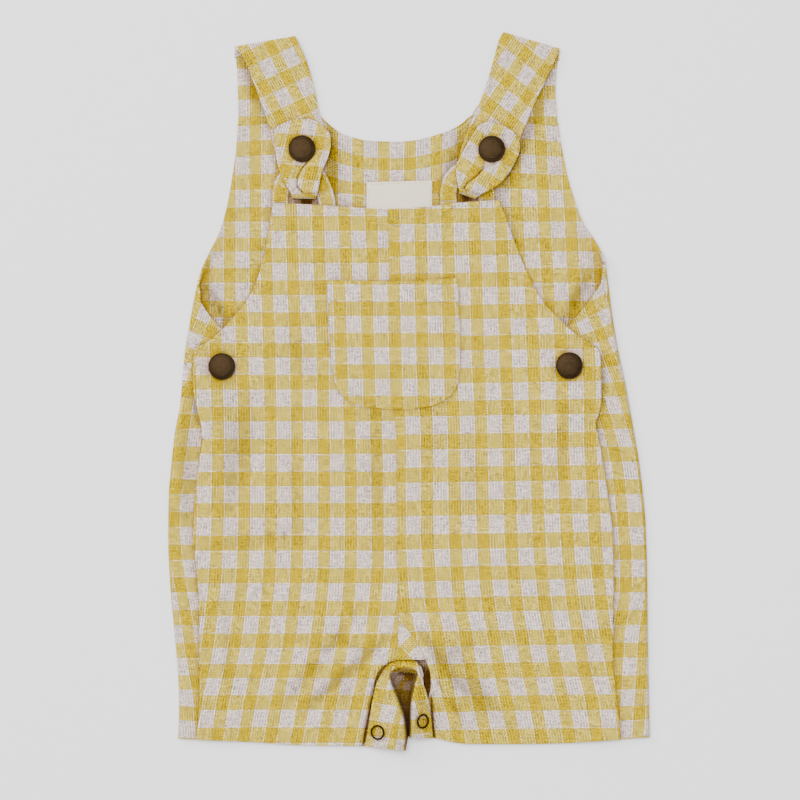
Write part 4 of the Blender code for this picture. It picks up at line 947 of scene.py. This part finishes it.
gusset = {"foot": -149.6, "top": -129.0, "columns": 22, "rows": 30, "seamDip": 0.4,
          "grain": {"origin": (-5.3, -147.3), "across": (0.04856, -0.04856), "along": (-0.04073, -0.04073)}}


def makeGusset():
    rows = []
    for height in np.linspace(gusset["foot"], gusset["top"], gusset["rows"]) * mm:
        left = along(front["centreSeam"], "across", height) + front["seam"] * mm / 2
        right = along(front["gussetSide"], "across", height) - front["seam"] * mm
        across = np.linspace(left, right, gusset["columns"])
        upward = np.full(gusset["columns"], height)
        rows.append(np.stack((across, upward, frontHeight(across, upward) + ripple(across, upward)), axis=1))
    grid = np.array(rows)
    x, y = grid[..., 0], grid[..., 1]
    for line in (grid[:, 0, :2], grid[:, -1, :2]):
        away, _ = distanceTo(line, x, y)
        grid[..., 2] -= gusset["seamDip"] * mm * np.exp(-(away / mm) ** 2)
    grain = lattice(gusset["grain"], x, y)
    piece = sewSheet("gussetCloth", grid, grain, front["wall"] * mm, ["crotch_gusset"])


makeGusset()

pocket = {
    "lay": 0.14, "puff": 0.40, "topHem": 15.0, "edgeSeam": 1.9, "columns": 62,
    "top": table("across height", [(-45.4, 62.7), (-9, 62.0), (27.2, 63.8)]),
    "outline": table("height left right", [
        (63, -45.5, 27.1), (48, -45.0, 28.2), (30, -44.2, 28.9), (15, -42.9, 28.8), (6, -41.2, 27.6),
        (1, -39.0, 25.6), (-3, -35.6, 22.2), (-6, -31.2, 17.4), (-8, -24.4, 11.0), (-9.3, -14.0, 1.6)]),
    "grain": {"origin": (-38.4, 46.6), "across": (0.06589, 0.00185), "along": (0.0, -0.05687)},
}


def makePocket():
    rows = []
    for height in steps(-9.3, -6, 8, 6, 14, 63, 44):
        left, right = (along(pocket["outline"], side, height) for side in ("left", "right"))
        across = np.linspace(left, right, pocket["columns"])
        upward = height + smoothStep(40 * mm, 63 * mm, height) * (
            along(pocket["top"], "height", across, by="across") - 63 * mm)
        rows.append(np.stack((across, upward, frontHeight(across, upward) + frontRelief(across, upward)
                              + (front["wall"] + pocket["lay"]) * mm), axis=1))
    grid = np.array(rows)
    x, y = grid[..., 0], grid[..., 1]
    edge = np.concatenate((grid[::-1, 0, :2], grid[0, 1:, :2], grid[1:, -1, :2]))
    top = grid[-1, :, :2]
    away, travel = distanceTo(edge, x, y)
    away, travel = away / mm, travel / mm
    lift = 0.35 * smoothStep(0.2, 6, away) * pocket["puff"] / 0.45 - 0.1
    lift += 0.12 * np.exp(-((away - 0.9) / 0.7) ** 2)
    lift -= 0.14 * np.exp(-((away - pocket["edgeSeam"]) / 0.45) ** 2)
    lift += 0.06 * np.sin(travel * 2.2 + np.sin(travel / 6)) * np.exp(-((away - 2.2) / 1.3) ** 2)
    grid[..., 2] += lift * mm + turnedEdge(top, x, y, pocket["topHem"], 0.15, 0.12)
    grain = lattice(pocket["grain"], x, y)
    piece = sewSheet("pocketCloth", grid, grain, front["wall"] * mm, ["chest_pocket"])
    stitchOnTop("pocketStitching", piece, offsetLine(edge, pocket["edgeSeam"] * mm))
    stitchOnTop("pocketStitching", piece, offsetLine(top, -pocket["topHem"] * mm))


makePocket()

label = {"left": -23.5, "right": 13.2, "foot": 98.0, "topLeft": 117.6, "topRight": 118.6, "wall": 0.55,
         "lay": 0.3, "columns": 26, "rows": 16}


def makeLabel():
    rows = []
    across = np.linspace(label["left"], label["right"], label["columns"]) * mm
    top = np.linspace(label["topLeft"], label["topRight"], label["columns"]) * mm
    for share in np.linspace(0, 1, label["rows"]):
        upward = label["foot"] * mm + share * (top - label["foot"] * mm)
        lift = ridges(back["floorFolds"], across, upward) + np.maximum(ripple(across, upward), 0)
        lift += (back["wall"] + label["lay"] + label["wall"] / 2 + 0.12 * np.sin(across / mm / 5.1 + 1)) * mm
        rows.append(np.stack((across, upward, lift), axis=1))
    grid = np.array(rows)
    grain = np.zeros(grid.shape[:2] + (2,))
    piece = sewSheet("labelTape", grid, grain, label["wall"] * mm, ["neck_label"], finish=tapeFinish)
    stitchOnTop("labelStitching", piece, offsetLine(grid[-1, 1:-1, :2], -1.3 * mm))
    stitchOnTop("labelStitching", piece, offsetLine(grid[1:-1, 0, :2], -1.2 * mm))
    stitchOnTop("labelStitching", piece, offsetLine(grid[1:-1, -1, :2], 1.2 * mm))


makeLabel()


strapLine = "leftX leftY rightX rightY height"
tabLine = strapLine + " pleatShare rise"
straps = {
    "left": {
        "root": table(strapLine, [(-97.3, 187.4, -62.6, 193.2, 0.5), (-97.2, 190.0, -63.0, 195.8, 0.5)]),
        "shoulder": ((-97.0, 193.2), (-63.4, 199.0)),
        "front": table(strapLine, [
            (-93.0, 188.8, -61.2, 194.0, 3.2), (-89.9, 182.3, -57.6, 186.0, 2.7),
            (-86.3, 173.0, -54.6, 176.0, 2.3), (-83.0, 164.0, -52.3, 166.5, 2.1),
            (-80.2, 156.0, -50.6, 157.5, 2.0), (-77.6, 147.8, -47.6, 149.0, 1.95),
            (-75.6, 139.8, -46.0, 141.0, 1.9), (-73.6, 132.0, -46.6, 133.0, 1.9),
            (-70.0, 124.5, -49.0, 125.0, 1.9), (-66.8, 118.0, -51.2, 118.3, 1.9),
            (-65.8, 113.0, -52.0, 113.1, 1.9)]),
        "turn": ((-65.0, 108.5), (-51.8, 108.5)),
        "tab": table(tabLine, [
            (-65.9, 112.0, -50.9, 112.0, 4.9, 0.54, 1.8), (-67.6, 115.0, -50.3, 115.2, 5.0, 0.42, 2.3),
            (-70.0, 119.3, -49.4, 119.4, 5.0, 0.48, 2.4), (-72.2, 124.5, -48.0, 124.5, 4.9, 0.59, 2.1),
            (-73.5, 130.0, -45.8, 130.0, 4.8, 0.71, 1.2), (-74.2, 136.5, -44.0, 136.0, 4.5, 0.80, 0.0),
            (-74.6, 142.0, -43.8, 141.5, 4.2, 0.80, 0.0), (-74.6, 146.6, -44.8, 145.2, 4.0, 0.80, 0.0),
            (-71.5, 149.4, -48.0, 148.5, 3.8, 0.80, 0.0), (-66.0, 151.6, -52.0, 151.2, 3.7, 0.80, 0.0),
            (-62.0, 152.7, -55.5, 152.6, 3.6, 0.80, 0.0)]),
        "cap": (-59.6, 136.0),
        "grain": {"origin": (-67.9, 176.1), "across": (0.06371, 0.03295), "along": (0.02275, -0.04898)},
        "tabGrain": {"origin": (-69.3, 123.5), "across": (0.06688, -0.01675), "along": (-0.00468, -0.05796)}},
    "right": {
        "root": table(strapLine, [(51.7, 195.3, 84.0, 185.8, 0.5), (52.4, 197.8, 84.2, 188.4, 0.5)]),
        "shoulder": ((53.0, 201.2), (84.4, 192.0)),
        "front": table(strapLine, [
            (50.6, 196.4, 82.2, 187.0, 3.2), (48.4, 188.0, 79.6, 180.6, 2.7), (45.9, 179.0, 75.6, 172.5, 2.3),
            (43.0, 170.0, 71.6, 164.2, 2.1), (39.8, 161.5, 68.2, 156.5, 2.0),
            (36.2, 153.5, 64.8, 148.0, 1.95),
            (32.8, 145.0, 61.4, 140.0, 1.9), (29.6, 136.0, 57.5, 132.0, 1.9), (28.0, 128.0, 52.5, 125.5, 1.9),
            (28.2, 121.0, 45.0, 119.5, 1.9), (28.4, 116.0, 38.0, 114.4, 1.9)]),
        "turn": ((28.4, 111.6), (37.8, 108.2)),
        "tab": table(tabLine, [
            (28.0, 115.0, 40.8, 110.9, 4.9, 0.36, 1.7), (27.3, 119.0, 45.6, 113.2, 5.0, 0.43, 2.3),
            (26.9, 123.5, 51.0, 116.8, 5.0, 0.53, 2.1), (27.6, 128.5, 55.4, 122.0, 4.9, 0.56, 0.9),
            (30.2, 133.5, 58.8, 127.8, 4.8, 0.50, 0.0), (33.6, 139.2, 61.4, 133.2, 4.5, 0.50, 0.0),
            (36.6, 144.6, 62.2, 138.6, 4.3, 0.50, 0.0), (39.2, 148.4, 60.6, 142.4, 4.1, 0.50, 0.0),
            (42.6, 150.4, 57.0, 146.6, 3.9, 0.50, 0.0), (46.0, 151.0, 52.6, 149.2, 3.8, 0.50, 0.0)]),
        "cap": (46.5, 135.8),
        "grain": {"origin": (65.1, 189.0), "across": (0.05845, -0.03866), "along": (-0.03552, -0.04518)},
        "tabGrain": {"origin": (56.4, 130.8), "across": (0.06436, -0.03511), "along": (-0.03112, -0.04798)}},
    "wall": 1.0, "columns": 56, "finer": 5, "edgeSeam": 2.0, "overhang": 1.5, "flat": (0.034, 0.150),
    "shownShare": 0.86,
}


def strapEnds(leg):
    left = np.stack((leg["leftX"], leg["leftY"], leg["height"]), axis=1)
    right = np.stack((leg["rightX"], leg["rightY"], leg["height"]), axis=1)
    return np.stack((left, right), axis=1)


def bendEnds(ends, low, high, outward, turns=(-60, -20, 20, 60)):
    left, right = (np.array(end) * mm for end in ends)
    run = (right - left) / np.linalg.norm(right - left)
    away = np.array((-run[1], run[0])) * outward
    radius = abs(high - low) / 2
    lines = []
    for turnDeg in turns:
        turn = math.radians(turnDeg)
        level = (low + high) / 2 + radius * math.sin(turn)
        lines.append([np.append(end + away * radius * (math.cos(turn) - 1), level) for end in (left, right)])
    return np.array(lines)


def makeStrap(side):
    strap = straps[side]
    root, leg, tab = strap["root"], strap["front"], strap["tab"]
    lines = np.concatenate((
        strapEnds(root), bendEnds(strap["shoulder"], root["height"][-1], leg["height"][0], 1),
        strapEnds(leg), bendEnds(strap["turn"], leg["height"][-1], tab["height"][0], -1), strapEnds(tab)))
    count = (len(lines) - 1) * straps["finer"] + 1
    ends = spline(lines, count)
    place = np.linspace(0, len(lines) - 1, count)
    tabStart = len(lines) - len(tab["height"])
    legStart = len(root["height"]) + 4
    legEnd = legStart + len(leg["height"]) - 1
    shares = np.linspace(0, 1, straps["columns"] + 1)
    grid = ends[:, :1] + (ends[:, 1:] - ends[:, :1]) * shares[None, :, None]
    width = np.linalg.norm(ends[:, 1] - ends[:, 0], axis=1)[:, None] / mm
    across = shares[None, :] * width
    # the pleat, its upper lobe laid over the lower one
    onTab = place >= tabStart
    pleat = np.interp(place - tabStart, range(len(tab["height"])), tab["pleatShare"])[:, None]
    rise = np.where(onTab, np.interp(place - tabStart, range(len(tab["height"])), tab["rise"]), 0)[:, None]
    fromPleat = (shares[None, :] - pleat) * width
    step = smoothStep(-0.6, 0.6, fromPleat)
    overhang = np.exp(-((fromPleat - 0.9) / 1.3) ** 2) * straps["overhang"] * rise / 2.0
    run = (ends[:, 1] - ends[:, 0]) / np.maximum(width[:, :1], 1e-9) / mm
    grid[..., 2] += rise * step * (1.05 - 0.25 * smoothStep(2, 9, fromPleat))
    grid -= run[:, None, :] * overhang[..., None]
    grid[..., 2] -= 0.45 * rise / 2.0 * np.exp(-((fromPleat + 1.3) / 1.2) ** 2)
    # painted shade in the pleat's fold, under the upper lobe
    hollow = 1.5 * rise / (2.0 * mm) * np.exp(-((fromPleat + 1.3) / 0.8) ** 2)
    # the strap is full between its stitched edges, and pulled down round the cap
    inside = np.minimum(across, width - across)
    grid[..., 2] += mm * (0.45 * smoothStep(0, 0.8, inside) - 0.25 * smoothStep(0.9, 2.2, inside)
                          - 0.10 * np.exp(-((inside - straps["edgeSeam"]) / 0.5) ** 2)
                          + 0.22 * smoothStep(2.5, 8, inside))
    x, y = grid[..., 0], grid[..., 1]
    fromCap = np.hypot(x - strap["cap"][0] * mm, y - strap["cap"][1] * mm) / mm
    grid[..., 2] -= np.where(onTab[:, None], 0.3 * mm * (1 - smoothStep(6.5, 9.5, fromCap)), 0)
    unevenness = 0.8 * np.where(onTab[:, None], 1, 0.6) * ripple(x * 1.3, y * 1.2)
    grid[..., 2] += unevenness * smoothStep(1, 4, inside)
    onLeg = lattice(strap["grain"], x, y)
    onTabGrain = lattice(strap["tabGrain"], x, y)
    blend = smoothStep(legEnd, tabStart, place)[:, None, None]
    grain = onLeg + (onTabGrain - onLeg) * blend
    piece = sewSheet(side + "StrapCloth", grid, grain, straps["wall"] * mm, ["strap_" + side], hollow=hollow)
    normals = gridNormals(grid)
    stitching = side + "StrapStitching"
    seamShare = straps["edgeSeam"] / width[:, 0]
    legRows = (place >= legStart) & (place <= legEnd - 3)
    tabRows = (place >= tabStart + 1) & (place <= len(lines) - 1)
    for rows in (legRows, tabRows):
        for edge in (seamShare, 1 - seamShare):
            column = np.clip(np.round(edge * straps["columns"]), 1, straps["columns"] - 1).astype(int)
            numbers = np.nonzero(rows)[0]
            up = normals[numbers, column[numbers]]
            up = np.where(up[:, 2:] < 0, -up, up)
            stitchOnGrid(stitching, grid[numbers, column[numbers]], up, straps["wall"] * mm)


makeStrap("left")
makeStrap("right")

loops = {
    "width": 9.4, "wall": 1.0, "rows": 64, "columns": 11, "seamColumns": (2, 8), "grain": (14.9, 17.9),
    "left": table("across along height", [
        (-71.8, 98.5, 1.95), (-71.9, 105.5, 1.95), (-71.6, 112.0, 2.7), (-69.0, 119.0, 3.4),
        (-64.4, 123.9, 3.5), (-58.0, 125.4, 3.5), (-52.2, 122.4, 3.5), (-48.8, 116.6, 3.2),
        (-46.6, 110.6, 2.5), (-45.5, 105.0, 1.95), (-45.2, 98.0, 1.95)]),
    "right": table("across along height", [
        (22.6, 99.0, 1.95), (22.5, 106.0, 1.95), (22.4, 112.5, 2.7), (24.8, 119.6, 3.4),
        (30.0, 124.2, 3.5), (36.0, 123.8, 3.5), (41.0, 119.6, 3.4), (43.4, 113.2, 2.8),
        (43.9, 107.0, 1.95), (43.9, 100.0, 1.95)]),
}


def makeLoop(side):
    path = loops[side]
    centre = spline(np.stack((path["across"], path["along"], path["height"]), axis=1), loops["rows"])
    run = np.gradient(centre[:, :2], axis=0)
    run /= np.linalg.norm(run, axis=1, keepdims=True)
    beside = np.stack((-run[:, 1], run[:, 0], np.zeros(len(run))), axis=1)
    offsets = np.linspace(0.5, -0.5, loops["columns"]) * loops["width"] * mm
    grid = centre[:, None] + beside[:, None] * offsets[None, :, None]
    edge = (loops["width"] / 2 - abs(offsets) / mm)[None, :]
    step = np.linalg.norm(np.diff(centre, axis=0), axis=1)
    travel = np.concatenate(([0], np.cumsum(step)))[:, None] / mm
    grid[..., 2] += mm * (0.2 * smoothStep(0, 1.4, edge) - 0.1 * np.exp(-((edge - 1.6) / 0.5) ** 2)
                          + 0.05 * np.sin(travel * 1.9 + edge))
    grain = np.stack(np.broadcast_arrays(offsets[None, :] / mm / loops["grain"][0],
                                         travel / loops["grain"][1] + 0.3), axis=-1)
    piece = sewSheet(side + "LoopCloth", grid, grain, loops["wall"] * mm, ["strap_loop_" + side])
    normals = gridNormals(grid)
    for column in loops["seamColumns"]:
        up = normals[:, column]
        up = np.where(up[:, 2:] < 0, -up, up)
        stitchOnGrid(side + "LoopStitching", grid[:, column], up, loops["wall"] * mm)


makeLoop("left")
makeLoop("right")

band = {
    "wall": 1.0, "rows": 96, "columns": 30, "least": 1.75, "seamColumn": 4, "repeat": 14.9,
    "seamRows": (slice(0, 36), slice(66, 96)),  # up each leg, and not over the crotch
    "sections": table("lipX lipY lipZ crestX crestY crestZ flankX flankY flankZ rootX rootY rootZ", [
        (-24.2, -198.2, 4.2, -4.2, -199.9, 9.4, -2.6, -200.5, 5.0, -1.9, -200.5, 2.0),
        (-22.2, -189.0, 4.4, -3.6, -190.0, 12.8, -1.6, -190.5, 6.0, -0.3, -190.5, 2.0),
        (-20.8, -179.0, 4.9, -5.2, -179.5, 12.6, -2.4, -180.0, 5.0, 0.5, -180.0, 2.0),
        (-19.4, -170.5, 5.7, -8.2, -170.5, 11.8, -5.0, -170.5, 4.2, 1.6, -170.5, 1.9),
        (-17.4, -163.0, 6.6, -10.8, -163.0, 10.8, -7.4, -163.0, 4.2, 2.6, -163.0, 1.9),
        (-14.0, -157.0, 5.9, -11.2, -157.2, 8.8, -8.0, -160.0, 4.8, 0.6, -161.6, 1.9),
        (-9.6, -150.9, 4.6, -8.0, -153.8, 7.0, -6.0, -157.2, 5.0, -4.8, -155.6, 2.0),
        (-3.0, -149.8, 4.5, -3.0, -153.0, 6.6, -2.8, -156.6, 4.8, -2.6, -154.8, 2.0),
        (3.0, -150.6, 4.6, 2.8, -153.6, 7.2, 2.2, -157.0, 5.2, 1.6, -155.4, 2.0),
        (7.2, -155.4, 6.0, 6.0, -157.0, 9.2, 4.8, -158.6, 6.0, 2.9, -158.4, 2.0),
        (7.8, -162.6, 7.4, 4.4, -163.2, 11.0, 3.2, -163.6, 6.2, 2.5, -163.4, 2.0),
        (10.4, -171.0, 6.2, 3.0, -171.0, 12.4, 1.9, -171.0, 6.4, 2.0, -171.0, 2.0),
        (12.0, -182.0, 5.0, 2.8, -182.0, 12.8, 1.0, -182.0, 6.6, 0.9, -182.0, 2.0),
        (13.2, -193.7, 4.5, 2.2, -192.9, 10.0, 0.5, -192.6, 5.8, 0.3, -192.6, 2.0)]),
    "leftGrain": {"origin": (-16.6, -169.7), "across": (0.06662, -0.01648), "along": (-0.00541, -0.05411)},
    "rightGrain": {"origin": (5.1, -168.0), "across": (0.06593, 0.01854), "along": (0.00271, -0.05411)},
}


def makeBand():
    corners = np.stack([np.stack([band["sections"][name + axis] for axis in "XYZ"], axis=1)
                        for name in ("lip", "crest", "flank", "root")], axis=1)
    rows = spline(corners, band["rows"])
    grid = np.array([spline(row, band["columns"]) for row in rows])
    share = np.linspace(0, 1, band["rows"])[:, None]
    fromLip = np.concatenate((np.zeros((band["rows"], 1)), np.cumsum(
        np.linalg.norm(np.diff(grid, axis=1), axis=2), axis=1)), axis=1) / mm
    travel = np.cumsum(np.linalg.norm(np.gradient(grid[:, 0], axis=0), axis=1))[:, None] / mm
    normals = gridNormals(grid)
    normals = np.where(normals[:, :1, 2:] < 0, -normals, normals)
    bump = (0.25 * (1 - smoothStep(1.2, 3.4, fromLip)) - 0.16 * np.exp(-((fromLip - 2.4) / 0.5) ** 2)
            + 0.10 * np.sin(travel * 1.3 + np.sin(travel / 4)) * np.exp(-(fromLip / 4) ** 2)
            + 0.22 * np.sin(travel / 5.2 + fromLip / 6) * smoothStep(2, 8, fromLip))
    grid += normals * bump[..., None] * mm
    grid[..., 2] = np.maximum(grid[..., 2], band["least"] * mm)
    x, y = grid[..., 0], grid[..., 1]
    leg = smoothStep(0.44, 0.56, share)[..., None]
    # down the flanks the grain follows the cloth, not the picture
    left, right = lattice(band["leftGrain"], x, y), lattice(band["rightGrain"], x, y)
    left[..., 0] += np.maximum(fromLip - 16, 0) / band["repeat"]
    right[..., 0] -= np.maximum(fromLip - 10, 0) / band["repeat"]
    grain = left + (right - left) * leg
    # past the crest the cloth goes down between the legs, where it is painted darker as shade
    over = np.linspace(0, 1, band["columns"])[None, :]
    hollow = np.where(leg[..., 0] > 0.5, 0.82 * smoothStep(0.33, 0.46, over),
                      0.14 * smoothStep(0.16, 0.34, over) + 0.68 * smoothStep(0.34, 0.44, over))
    piece = sewSheet("inseamBandCloth", grid, grain, band["wall"] * mm, ["inseam_placket"], hollow=hollow)
    column = band["seamColumn"]
    for rowsUsed in band["seamRows"]:
        stitchOnGrid("inseamBandStitching", grid[rowsUsed, column], normals[rowsUsed, column],
                     band["wall"] * mm)


makeBand()
print("straps, loops and band made")


caps = {
    "segments": 96, "rimHeight": 0.72, "roll": 0.42, "rollAngle": 50, "smoothAngle": 35,
    "steps": ((0.30, 0.12), (0.30, 0.03), (0.30, -0.22), (0.25, 0.02), (0.35, 0.14), (0.9, 0.14), (1.1, 0.12),
              (1.3, 0.09), (1.2, 0.05)),  # inset and lift: rolled rim, shallow groove, then a low dome
    "names": {"strap_snap_left": "leftStrapSnap", "strap_snap_right": "rightStrapSnap",
              "side_snap_left": "leftSideSnap", "side_snap_right": "rightSideSnap"},
}


def faceUp(piece):  # select only the topmost face
    bpy.ops.mesh.select_all(action="DESELECT")
    bpy.ops.object.mode_set(mode="OBJECT")
    best = max(piece.data.polygons, key=lambda face: (face.center.z, face.area))
    best.select = True
    bpy.ops.object.mode_set(mode="EDIT")


def makeCap(node, name):
    low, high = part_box(node)
    centre = (low + high) / 2
    depth = (high.z - low.z) * caps["rimHeight"]
    bpy.ops.object.select_all(action="DESELECT")
    bpy.ops.mesh.primitive_cylinder_add(vertices=caps["segments"], radius=(high.x - low.x) / 2, depth=depth,
                                        location=(centre.x, centre.y, low.z + depth / 2))
    piece = bpy.context.active_object
    piece.name = piece.data.name = name
    bpy.ops.object.mode_set(mode="EDIT")
    bpy.ops.mesh.select_mode(type="FACE")
    faceUp(piece)
    for inset, lift in caps["steps"]:
        bpy.ops.mesh.inset(thickness=inset * mm, depth=0)
        bpy.ops.transform.translate(value=(0, 0, lift * mm))
    bpy.ops.object.mode_set(mode="OBJECT")
    bpy.ops.object.transform_apply(location=True, rotation=True, scale=True)
    rolled = piece.modifiers.new("rolled", "BEVEL")
    rolled.width = caps["roll"] * mm
    rolled.segments = 3
    rolled.limit_method = "ANGLE"
    rolled.angle_limit = math.radians(caps["rollAngle"])
    bpy.ops.object.modifier_apply(modifier="rolled")
    bpy.ops.object.shade_smooth_by_angle(angle=math.radians(caps["smoothAngle"]))
    piece.data.materials.append(brassMaterial(name + "Brass", (centre.x, centre.y, low.z)))
    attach(piece, "root")
    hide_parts(node)
    piece.select_set(False)


for node, name in caps["names"].items():
    makeCap(node, name)
for node in ("inseam_ring_left", "inseam_ring_right"):
    low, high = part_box(node)
    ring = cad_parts[node]
    ring.data.materials.clear()
    ring.data.materials.append(brassMaterial(node + "Brass", (low + high) / 2))
print("metal made")

for group in list(stitchPaths):
    makeStitches(group)


studio = {
    "pixel": 0.56, "imageMiddle": (-4.76, -4.48), "lens": 150.0, "sensor": 36.0, "imageWidth": 800,
    "clothHeight": 3,  # where a pixel has its size
    "floorColour": (0.96, 0.96, 0.96, 1), "floorDrop": 0.4,
    "roomColour": (1.0, 0.93, 0.84, 1), "roomStrength": 0.64, "lampColour": (0.985, 1.0, 1.04),
    "softbox": {"place": (-0.5, 0.6, 3.9), "size": 2.2, "watts": 250.0},
    "sideLight": {"place": (-2.6, 1.9, 2.3), "size": 1.6, "watts": 75.0},
}


def makeStage():
    bpy.ops.mesh.primitive_plane_add(size=6, location=(0, 0, -studio["floorDrop"] * mm))
    floor = bpy.context.active_object
    floor.name = "floor"
    material, tree = newMaterial("paleFloor")
    setSurface(tree, {"Base Color": studio["floorColour"], "Roughness": 0.9, "Specular IOR Level": 0.1})
    floor.data.materials.append(material)
    floor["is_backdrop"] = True

    world = bpy.data.worlds.new("softRoom")
    bpy.context.scene.world = world
    world.use_nodes = True
    room = world.node_tree.nodes["Background"]
    room.inputs["Color"].default_value = studio["roomColour"]
    room.inputs["Strength"].default_value = studio["roomStrength"]
    for name in ("softbox", "sideLight"):
        place = studio[name]["place"]
        bpy.ops.object.light_add(type="AREA", location=place)
        lamp = bpy.context.active_object
        lamp.name = name
        lamp.data.size = studio[name]["size"]
        lamp.data.energy = studio[name]["watts"]
        lamp.data.color = studio["lampColour"]
        lamp.rotation_euler = (-Vector(place)).to_track_quat("-Z", "Y").to_euler()

    width = studio["pixel"] * studio["imageWidth"] * mm
    camera = bpy.data.cameras.new("overhead")
    camera.lens = studio["lens"]
    camera.sensor_width = studio["sensor"]
    camera.clip_start, camera.clip_end = 0.05, 20
    eye = bpy.data.objects.new("overhead", camera)
    bpy.context.scene.collection.objects.link(eye)
    middle = np.array(studio["imageMiddle"]) * mm + shift[:2]
    eye.location = (*middle, width * studio["lens"] / studio["sensor"] + studio["clothHeight"] * mm)
    bpy.context.scene.camera = eye


makeStage()

low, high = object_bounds()
print("all made")
